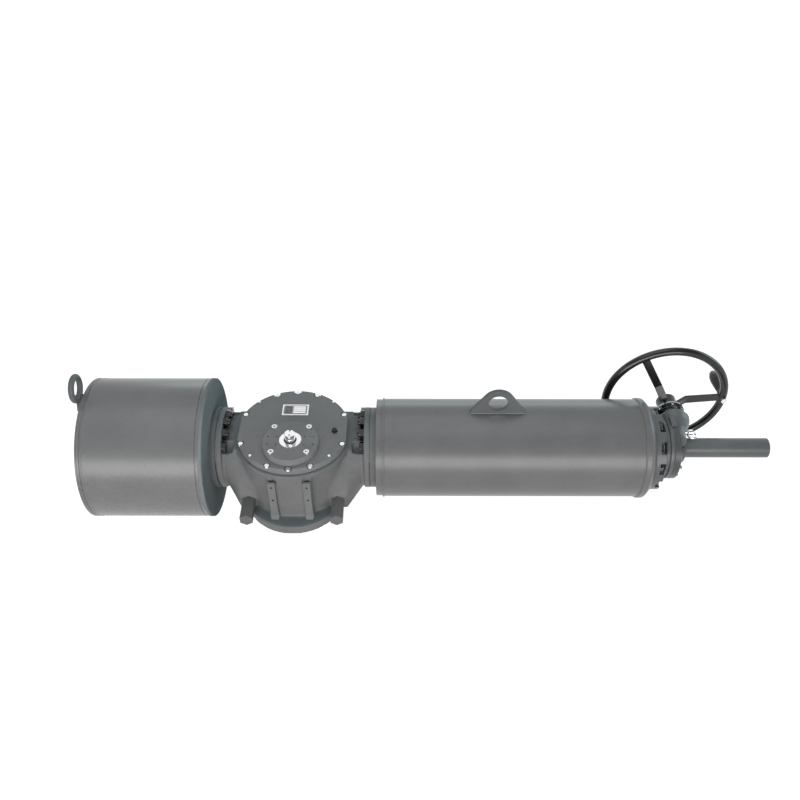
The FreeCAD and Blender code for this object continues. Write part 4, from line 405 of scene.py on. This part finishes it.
bare_marks = noise(bare, scale=bare_in.outputs["Mark size"], detail=2.0, rough=0.5)
bare_tone = blend_of(bare, spread(bare, bare_cloud, (0.35, 0.7), (0.0, 1.0)),
                     bare_in.outputs["Metal"], bare_in.outputs["Shade"])
# Edges take the edge colour: rubbed metal, and a painted glint where it is far paler than the
# metal.
bare_rub_and_glint = maths(bare, "MULTIPLY", bare_in.outputs["Edge"],
                 spread(bare, bare_cloud, (0.35, 0.6), (0.3, 0.9)))
bare_edged_and_glinting = blend_of(bare, bare_rub_and_glint, bare_tone, bare_in.outputs["Edge metal"])
bare_rough = maths(bare, "ADD", bare_in.outputs["Gloss"],
                   spread(bare, bare_cloud, (0.3, 0.7), (-0.06, 0.08)))
bare.links.new(bare_edged_and_glinting, bare_out.inputs["Colour"])
bare.links.new(bare_rough, bare_out.inputs["Roughness"])
bare.links.new(bare_marks, bare_out.inputs["Height"])


def metal(name, colour, shade, edge, marks, gloss, radius, strength, metallic=1.0, shine=0.5):
    return finish_from(name, bare, metallic=metallic, shine=shine, radius=radius, strength=strength,
                       relief=0.0003, Metal=(*colour, 1.0), Shade=(*shade, 1.0),
                       Edge_metal=(*edge, 1.0), Mark_size=marks, Gloss=gloss)


bearing_bronze = metal("bearing_bronze", (0.52, 0.33, 0.14), shade=(0.40, 0.23, 0.09),
                       edge=(0.64, 0.44, 0.21), marks=900.0, gloss=0.30, radius=0.0006,
                       strength=0.12)
dress(bearing_bronze, "lower_bush", "upper_bush", "rod_bushes")

# The yoke: one ductile-iron casting with two slotted arms, bored and slotted on the mill and left
# bare with a film of grease, so that it is dull and slightly brown beside the paint.
yoke_iron = metal("yoke_iron", (0.16, 0.155, 0.15), shade=(0.10, 0.09, 0.085),
                  edge=(0.30, 0.29, 0.28), marks=420.0, gloss=0.52, radius=0.0018, strength=0.40,
                  metallic=0.7)
dress(yoke_iron, "yoke")

# Guide bar, yoke pin and rollers: hardened and ground steel. The block that carries the pin is a
# milled casting that slides along the bar.
ground_steel = metal("ground_steel", (0.60, 0.60, 0.61), shade=(0.46, 0.46, 0.47),
                     edge=(0.68, 0.68, 0.69), marks=1800.0, gloss=0.18, radius=0.0006,
                     strength=0.04)
dress(ground_steel, "guide_bar", "yoke_pin", "yoke_rollers")
milled_casting = metal("milled_casting", (0.26, 0.26, 0.27), shade=(0.17, 0.17, 0.17),
                       edge=(0.36, 0.36, 0.37), marks=700.0, gloss=0.42, radius=0.0009,
                       strength=0.25)
dress(milled_casting, "guide_block")

# The round cover: an iron plate with a notch for each bolt, faced on the underside and sprayed with
# the housing's enamel. Its edge stands a little proud of the casting.
cover_enamel = enamel("cover_enamel", (0.196, 0.197, 0.199), grain=520.0, depth=0.7, gloss=0.42,
                      film=0.22, radius=0.0014, strength=0.22)
dress(cover_enamel, "cover")

# Cover bolts and dowels: cold-headed hexagon bolts and ground pins, bright zinc plated. The bolts
# are tightened after painting, so no enamel lies on their heads.
zinc_plate = metal("zinc_plate", (0.86, 0.87, 0.88), shade=(0.74, 0.75, 0.75),
                   edge=(0.92, 0.93, 0.94), marks=1400.0, gloss=0.24, radius=0.0004, strength=0.05)
dress(zinc_plate, "cover_bolts", "cover_dowels")


# A blind plug closes the cover's spare port: a shallow disc with a round socket, painted over
# together with the cover.
def finished(name, shape, finish, stand=Matrix.Identity(4), sharp=35.0):
    """The mesh becomes an object in its place, with its finish, and rides on the frame."""
    shape.transform(stand)
    data = bpy.data.meshes.new(name)
    shape.to_mesh(data)
    shape.free()
    coat(data, finish)
    data.set_sharp_from_angle(angle=math.radians(sharp))
    piece = set_down(name, data)
    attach(piece, "frame")
    return piece


def band(shape, low, high):
    """The faces between two rings of corners, either of which may be a single point."""
    steps = max(len(low), len(high))
    for step in range(steps):
        after = (step + 1) % steps
        if len(low) == 1:
            shape.faces.new((low[0], high[after], high[step]))
        elif len(high) == 1:
            shape.faces.new((low[step], low[after], high[0]))
        else:
            shape.faces.new((low[step], low[after], high[after], high[step]))


def turned_piece(name, profile, steps, place, axis, finish):
    """A piece spun from (radius, height) corners about an axis through its place."""
    shape = bmesh.new()
    rings = []
    for radius, height in profile:
        turns = [2 * math.pi * step / steps for step in range(steps if radius else 1)]
        rings.append([shape.verts.new((radius * math.cos(turn), radius * math.sin(turn), height))
                      for turn in turns])
    for low, high in zip(rings, rings[1:]):
        band(shape, low, high)
    bmesh.ops.remove_doubles(shape, verts=shape.verts, dist=1e-6)
    bmesh.ops.recalc_face_normals(shape, faces=shape.faces)
    turn = Vector((0.0, 0.0, 1.0)).rotation_difference(Vector(axis)).to_matrix().to_4x4()
    return finished(name, shape, finish, Matrix.Translation(place) @ turn)


plug_place = (-0.115, 0.057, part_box("cover")[1][2])
plug_profile = [(0.0, -0.0020), (0.0035, -0.0020), (0.0040, 0.0006), (0.0078, 0.0008),
                (0.0086, 0.0002), (0.0088, -0.0008), (0.0, -0.0010)]
turned_piece("cover_plug", plug_profile, steps=32, place=plug_place, axis=(0, 0, 1),
             finish=cover_enamel)

# The accessory pad: a round iron plate with the standard tapped hole pattern round the shaft, faced
# after painting only where the bright seal retainer sits.
dress(cover_enamel, "accessory_pad")

# Pad screws: socket-head cap screws, bright zinc plated, with dust and old paint in the sockets.
# Each goes through the pad into the cover.
screw_zinc = metal("screw_zinc", (0.86, 0.87, 0.88), shade=(0.72, 0.73, 0.73),
                   edge=(0.92, 0.93, 0.94), marks=1600.0, gloss=0.24, radius=0.0003, strength=0.05)
dress(screw_zinc, "pad_screws")

# Seal retainer and position shaft: polished stainless steel. The ring holds the black lip seal in
# the pad, and the shaft shows where the yoke stands.
polished_steel = metal("polished_steel", (0.92, 0.93, 0.94), shade=(0.84, 0.85, 0.86),
                       edge=(0.95, 0.95, 0.96), marks=1200.0, gloss=0.16, radius=0.0003,
                       strength=0.02)
dress(polished_steel, "seal_retainer", "position_shaft")
seal_rubber = metal("seal_rubber", (0.012, 0.012, 0.012), shade=(0.020, 0.020, 0.020),
                    edge=(0.03, 0.03, 0.03), marks=1500.0, gloss=0.60, radius=0.0006, strength=0.20,
                    metallic=0.0)
dress(seal_rubber, "shaft_seal")

# The nameplate: a thin aluminium plate with a bright rim round a grey etched field of blank boxes,
# held by four drive rivets.
plate_aluminium = metal("plate_aluminium", (0.80, 0.80, 0.80), shade=(0.68, 0.68, 0.68),
                        edge=(0.86, 0.86, 0.86), marks=1200.0, gloss=0.34, radius=0.0003,
                        strength=0.05)
dress(plate_aluminium, "nameplate")
etched_grey = metal("etched_grey", (0.30, 0.30, 0.31), shade=(0.22, 0.22, 0.23),
                    edge=(0.60, 0.60, 0.60), marks=1500.0, gloss=0.50, radius=0.0002, strength=0.06,
                    metallic=0.4)
etched_dark = metal("etched_dark", (0.10, 0.10, 0.105), shade=(0.06, 0.06, 0.065),
                    edge=(0.40, 0.40, 0.40), marks=1500.0, gloss=0.50, radius=0.0002, strength=0.06,
                    metallic=0.4)
(plate_left, plate_front, _), (plate_right, plate_back, plate_top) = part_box("nameplate")


def framed_field(shape, left, front, right, back, level, rim, depth):
    """A shallow field with a raised rim, seen from above."""
    outer = [(left, front), (right, front), (right, back), (left, back)]
    inner = [(left + rim, front + rim), (right - rim, front + rim), (right - rim, back - rim),
             (left + rim, back - rim)]
    rings = [[shape.verts.new((x, y, level + rise)) for x, y in corners]
             for corners, rise in ((outer, -depth), (outer, depth), (inner, depth),
                                   (inner, depth * 0.15))]
    for low, high in zip(rings, rings[1:]):
        band(shape, low, high)
    shape.faces.new(rings[-1])
    shape.faces.new(list(reversed(rings[0])))


field_inset, field_rim, field_depth = 0.004, 0.0012, 0.00025
field = bmesh.new()
framed_field(field, plate_left + field_inset, plate_front + field_inset, plate_right - field_inset,
             plate_back - field_inset, plate_top, field_rim, field_depth)
finished("nameplate_field", field, etched_grey)
row_start, row_pitch, row_lift, row_rim, row_depth = 0.0085, 0.0078, 0.0001, 0.0005, 0.00018
label_left, label_right, label_deep = 0.0085, 0.0300, 0.0052
panel_left, panel_right, panel_deep = 0.0330, 0.0695, 0.0064
labels = bmesh.new()
panels = bmesh.new()
for row in range(4):
    front = plate_front + row_start + row * row_pitch
    framed_field(labels, plate_left + label_left, front, plate_left + label_right,
                 front + label_deep, plate_top + row_lift, row_rim, row_depth)
    framed_field(panels, plate_left + panel_left, front, plate_left + panel_right,
                 front + panel_deep, plate_top + row_lift, row_rim, row_depth)
finished("nameplate_rows", labels, etched_dark)
finished("nameplate_panels", panels, plate_aluminium)
rivet_inset = 0.0045
rivet_profile = [(0.0020, -0.0004), (0.0020, 0.0003), (0.0016, 0.0009), (0.0009, 0.0012),
                 (0.0, 0.0013)]
rivet_places = [(x, y, plate_top) for x in (plate_left + rivet_inset, plate_right - rivet_inset)
                for y in (plate_front + rivet_inset, plate_back - rivet_inset)]
for corner, place in enumerate(rivet_places):
    turned_piece("nameplate_rivet_%d" % corner, rivet_profile, steps=20, place=place,
                 axis=(0, 0, 1), finish=zinc_plate)

# The vent plug on the cover: a moulded black cap screwed into the housing's breather port, so that
# the drive's inside is never under pressure.
moulded_plastic = metal("moulded_plastic", (0.014, 0.014, 0.015), shade=(0.022, 0.022, 0.022),
                        edge=(0.04, 0.04, 0.04), marks=1100.0, gloss=0.34, radius=0.0008,
                        strength=0.10, metallic=0.0, shine=0.25)
dress(moulded_plastic, "vent_plug")

# The two front rails: cast pads of the housing's front panel, milled flat and drilled to carry
# accessories, painted with the housing.
rail_enamel = enamel("rail_enamel", (0.168, 0.172, 0.175), grain=480.0, depth=0.8, gloss=0.40,
                     film=0.30, radius=0.0012, strength=0.24)
dress(rail_enamel, "accessory_rails")

# Stop bolts: turned steel set screws under long hexagon caps, which are painted with the housing
# and worn bright at the end face.
turned_steel = metal("turned_steel", (0.42, 0.42, 0.42), shade=(0.30, 0.30, 0.30),
                     edge=(0.55, 0.55, 0.55), marks=1300.0, gloss=0.32, radius=0.0006,
                     strength=0.12)
dress(turned_steel, "stop_bolts")
cap_enamel = enamel("cap_enamel", (0.136, 0.136, 0.138), grain=520.0, depth=0.6, gloss=0.40,
                    film=0.10, radius=0.0012, strength=0.18)
dress(cap_enamel, "stop_caps")

# Hub flange and rod adapter: turned steel rings, painted, and bolted to the two necks with black
# hexagon bolts, each with a hardened washer. Rounded stud ends stand out on top of each neck.
# Its pale edges on near-black metal are a painted glint on the bolt heads, studs and nuts.
black_oxide = metal("black_oxide", (0.020, 0.021, 0.023), shade=(0.045, 0.043, 0.042),
                    edge=(0.34, 0.35, 0.36), marks=1200.0, gloss=0.24, radius=0.0014, strength=0.10,
                    metallic=0.7)
dress(black_oxide, "neck_bolts")
flange_enamel = enamel("flange_enamel", (0.150, 0.155, 0.158), grain=620.0, depth=0.5, gloss=0.38,
                       film=0.30, radius=0.0014, strength=0.16)
dress(flange_enamel, "rod_adapter")
# A darker copy of the flange grey, as painted shade on the hub flange, the lifting eye and the
# lifting lug.
shaded_flange_enamel = enamel("shaded_flange_enamel", (0.120, 0.126, 0.129), grain=620.0, depth=0.5, gloss=0.38,
                    film=0.30, radius=0.0014, strength=0.16)
dress(shaded_flange_enamel, "hub_flange")
axis_y, axis_z = 0.100, 0.110
stud_foot, stud_circle, stud_turns = 0.1945, 0.104, (67.5, 90.0, 112.5)
stud_profile = [(0.0092, -0.0010), (0.0092, 0.0042), (0.0084, 0.0058), (0.0060, 0.0069),
                (0.0030, 0.0074), (0.0, 0.0075)]
for side, side_name in ((-1, "left"), (1, "right")):
    for index, turn in enumerate(stud_turns):
        stud_place = (side * stud_foot, axis_y + stud_circle * math.cos(math.radians(turn)),
                      axis_z + stud_circle * math.sin(math.radians(turn)))
        turned_piece("neck_stud_%s_%d" % (side_name, index), stud_profile, steps=32,
                     place=stud_place, axis=(-side, 0, 0), finish=black_oxide)

# The spring canister: a rolled steel tube with two welded end plates and a shallow groove near each
# end, sprayed with the same grey. The welds are laid in overlapping ripples.
tube_enamel = enamel("tube_enamel", (0.148, 0.148, 0.150), grain=900.0, depth=0.06, gloss=0.28,
                     film=0.20, radius=0.0, strength=0.03, shine=0.42)
dress(tube_enamel, "canister_tube", "canister_end_cap")
# The front plate takes a paler teal grey with no gloss: the teal is a painted reflection of the
# light on the end face.
plate_reflection_enamel = enamel("plate_reflection_enamel", (0.185, 0.215, 0.222), grain=700.0, depth=0.45, gloss=0.40,
                      film=0.20, radius=0.0010, strength=0.10, shine=0.0)
dress(plate_reflection_enamel, "canister_front_plate")


def weld_bead(name, rows, closed, finish):
    """A bead skinned over its rows of points, one row across it for each step along it."""
    shape = bmesh.new()
    laid = [[shape.verts.new(point) for point in row] for row in rows]
    for low, high in zip(laid, laid[1:] + laid[:1] if closed else laid[1:]):
        for index in range(len(low) - 1):
            shape.faces.new((low[index], low[index + 1], high[index + 1], high[index]))
    bmesh.ops.recalc_face_normals(shape, faces=shape.faces)
    return finished(name, shape, finish, sharp=60.0)


ripple_steps = 4


def weld_ring(name, x, radius, finish):
    """A bead round the cylinder axis. Each ripple ends thinner than it starts."""
    width, height_share, sunk = 0.0024, 0.55, 0.0003
    ripple_pitch, ripple_fade, slow_waver, quick_waver = 0.0055, 0.28, 0.06, 0.04
    steps = int(2 * math.pi * radius / ripple_pitch) * ripple_steps
    rows = []
    for step in range(steps):
        turn = 2 * math.pi * step / steps
        swell = (1.0 - ripple_fade * ((step % ripple_steps) / ripple_steps)
                 + slow_waver * math.sin(turn * 17.0) + quick_waver * math.sin(turn * 41.0 + 1.0))
        row = []
        for bend in (math.pi * index / 6 for index in range(7)):
            reach = radius + (math.sin(bend) * width * height_share * swell - sunk)
            row.append((x - math.cos(bend) * width * swell, axis_y + reach * math.cos(turn),
                        axis_z + reach * math.sin(turn)))
        rows.append(row)
    return weld_bead(name, rows, closed=True, finish=finish)


can_low, can_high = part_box("canister_tube")
can_radius = (can_high[1] - can_low[1]) / 2
can_wall = 0.008
can_bore = can_radius - can_wall
can_length = can_high[0] - can_low[0]
groove_deep, groove_half, groove_places = 0.0020, 0.0016, (0.0075, can_length - 0.0095)
shoulder_deep, shoulder_half = groove_deep * 0.75, 0.0012
can_profile = [(can_bore, 0.0), (can_radius, 0.0)]
for middle in groove_places:
    can_profile += [(can_radius, middle - groove_half),
                    (can_radius - shoulder_deep, middle - shoulder_half),
                    (can_radius - groove_deep, middle),
                    (can_radius - shoulder_deep, middle + shoulder_half),
                    (can_radius, middle + groove_half)]
can_profile += [(can_radius, can_length), (can_bore, can_length), (can_bore, 0.0)]
can_shell = turned_piece("canister_shell", can_profile, steps=360,
                         place=(can_low[0], axis_y, axis_z), axis=(1, 0, 0), finish=tube_enamel)
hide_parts("canister_tube")
weld_ring("canister_front_weld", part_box("canister_front_plate")[0][0], can_radius, tube_enamel)
weld_ring("canister_back_weld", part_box("canister_end_cap")[1][0], can_radius, tube_enamel)

# The lifting eye: a forged ring on a round foot, sprayed with the flange's grey, darker here as
# painted shade, and screwed to the canister's end plate with one black bolt.
dress(shaded_flange_enamel, "lifting_eye")
dress(black_oxide, "eye_bolt")

# The power spring with its pusher and rod: shot-peened black wire, a milled plate, a ground rod.
# The coil stays against the end cap.
spring_wire = metal("spring_wire", (0.15, 0.155, 0.165), shade=(0.09, 0.09, 0.095),
                    edge=(0.24, 0.25, 0.26), marks=800.0, gloss=0.40, radius=0.0010, strength=0.25)
dress(spring_wire, "power_spring")
coil = set_down("power_spring_coil", part["power_spring"].data.copy())
coil.data.materials.clear()
coil.data.materials.append(spring_wire)
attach(coil, "frame")
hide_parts("power_spring")
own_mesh(coil)
dress(milled_casting, "spring_pusher")
dress(ground_steel, "spring_rod")

# The air cylinder: a welded tube with a rolled bead at its far end between a flat front head and a
# domed end head, all in the same enamel. Inside, a bulkhead parts the piston from the spindle.
cylinder_enamel = enamel("cylinder_enamel", (0.130, 0.130, 0.132), grain=900.0, depth=0.20,
                         gloss=0.31, film=0.12, radius=0.0010, strength=0.05, shine=0.40)
dress(cylinder_enamel, "cylinder_head", "cylinder_tube", "end_head")
dress(milled_casting, "bulkhead", "piston")
dress(ground_steel, "piston_rod")
dress(seal_rubber, "piston_seals")

# The lifting lug: flame-cut plate, set on the crown of the cylinder and welded to it along both
# sides with a rippled bead that is thinner at its ends.
# The lug takes the darker copy of the grey: painted shade on its upward face.
dress(shaded_flange_enamel, "lifting_lug")
lug_low, lug_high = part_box("lifting_lug")
tube_radius = 0.149
bead_foot, bead_rise, foot_sunk, rise_sunk = 0.0042, 0.0046, 0.0006, 0.0008
bead_fade, bead_waver, end_steps, end_share = 0.26, 0.05, 3, 0.6
bead_overrun, bead_step = 0.002, 0.0014
bead_length = lug_high[0] - lug_low[0] + 2 * bead_overrun
bead_steps = int(bead_length / bead_step)
for side, y, outward in (("front", lug_low[1], -1.0), ("back", lug_high[1], 1.0)):
    crown = axis_z + math.sqrt(tube_radius ** 2 - (y - axis_y) ** 2)
    rows = []
    for step in range(bead_steps + 1):
        swell = (1.0 - bead_fade * ((step % ripple_steps) / ripple_steps)
                 + bead_waver * math.sin(step * 0.7))
        if step < end_steps or step > bead_steps - end_steps:
            swell *= end_share
        rows.append([(lug_low[0] - bead_overrun + bead_length * step / bead_steps,
                      y + outward * (bead_foot * swell * math.cos(bend) - foot_sunk),
                      crown + bead_rise * swell * math.sin(bend) - rise_sunk)
                     for bend in (math.pi / 2 * index / 5 for index in range(6))])
    weld_bead("lug_weld_" + side, rows, closed=False, finish=cylinder_enamel)

# The notched ring between cylinder and gearbox: an iron casting with an opening for each of its
# steel bolts, painted with the gearbox.
gear_enamel = enamel("gear_enamel", (0.100, 0.104, 0.107), grain=480.0, depth=0.8, gloss=0.30,
                     film=0.25, radius=0.0014, strength=0.22, shine=0.40)
dress(gear_enamel, "gearbox_adapter")
# The pale teal-white edge colour on the dark bolts is a painted glint.
bolt_steel = metal("bolt_steel", (0.15, 0.18, 0.19), shade=(0.07, 0.08, 0.085),
                   edge=(0.62, 0.68, 0.70), marks=1200.0, gloss=0.22, radius=0.0010, strength=0.08)
dress(bolt_steel, "adapter_bolts")

# The worm gearbox: a small iron casting with a rounded housing across it for the worm, and a
# flanged cover held by zinc-plated bolts. The bearings inside are ground steel.
case_enamel = enamel("case_enamel", (0.062, 0.065, 0.067), grain=480.0, depth=0.8, gloss=0.30,
                     film=0.25, radius=0.0014, strength=0.22, shine=0.35)
dress(gear_enamel, "gearbox_body")
dress(case_enamel, "gearbox_cover")
dress(zinc_plate, "gearbox_bolts", "gearbox_screws")
dress(ground_steel, "gearbox_bearings")

# The cover pipe: a closed steel tube, screwed into the gearbox cover and painted, that keeps the
# travelling spindle covered. The spindle itself is ground steel.
dress(gear_enamel, "cover_pipe")
dress(ground_steel, "override_spindle")

# The input ring: a turned and polished steel flange where the handwheel's shaft comes out. The worm
# is cut on that shaft, from turned steel.
# Its near-white edge colour is a painted highlight: the thin bright arcs along the ring's rims.
ring_steel = metal("ring_steel", (0.34, 0.37, 0.38), shade=(0.20, 0.22, 0.23),
                   edge=(0.90, 0.92, 0.93), marks=1200.0, gloss=0.20, radius=0.0006, strength=0.05)
dress(ring_steel, "input_ring")
dress(turned_steel, "worm_shaft")

# Worm wheel and nut halves: cast bronze. The wheel is hobbed to run with the worm, and the halves
# of the nut are bored as one and split, so that the lever can part them.
dress(bearing_bronze, "worm_wheel", "nut_half_upper", "nut_half_lower")

# Handwheel: a cast iron rim with three spokes, turned on its rim and sprayed semi-gloss black, and
# a black nut that holds it on its shaft.
wheel_enamel = enamel("wheel_enamel", (0.010, 0.010, 0.011), grain=600.0, depth=0.5, gloss=0.20,
                      film=0.05, radius=0.0010, strength=0.05, dust_and_top_light=(0.030, 0.031, 0.032),
                      shine=0.46)
dress(wheel_enamel, "handwheel")
dress(black_oxide, "wheel_nut")

# The grip: a moulded black handle that spins on a zinc-plated pin, which is fixed in a hole
# through the handwheel's rim.
dress(moulded_plastic, "spinner_grip")
dress(zinc_plate, "grip_spindle")

# Declutch lever: a chromed shaft with a pull ring on the side of the worm's housing. It lets the
# nut halves go, so that the spindle runs free when air drives the piston.
chrome = metal("chrome", (0.88, 0.89, 0.90), shade=(0.78, 0.79, 0.80), edge=(0.94, 0.95, 0.96),
               marks=1800.0, gloss=0.12, radius=0.0004, strength=0.03)
dress(chrome, "declutch_lever")
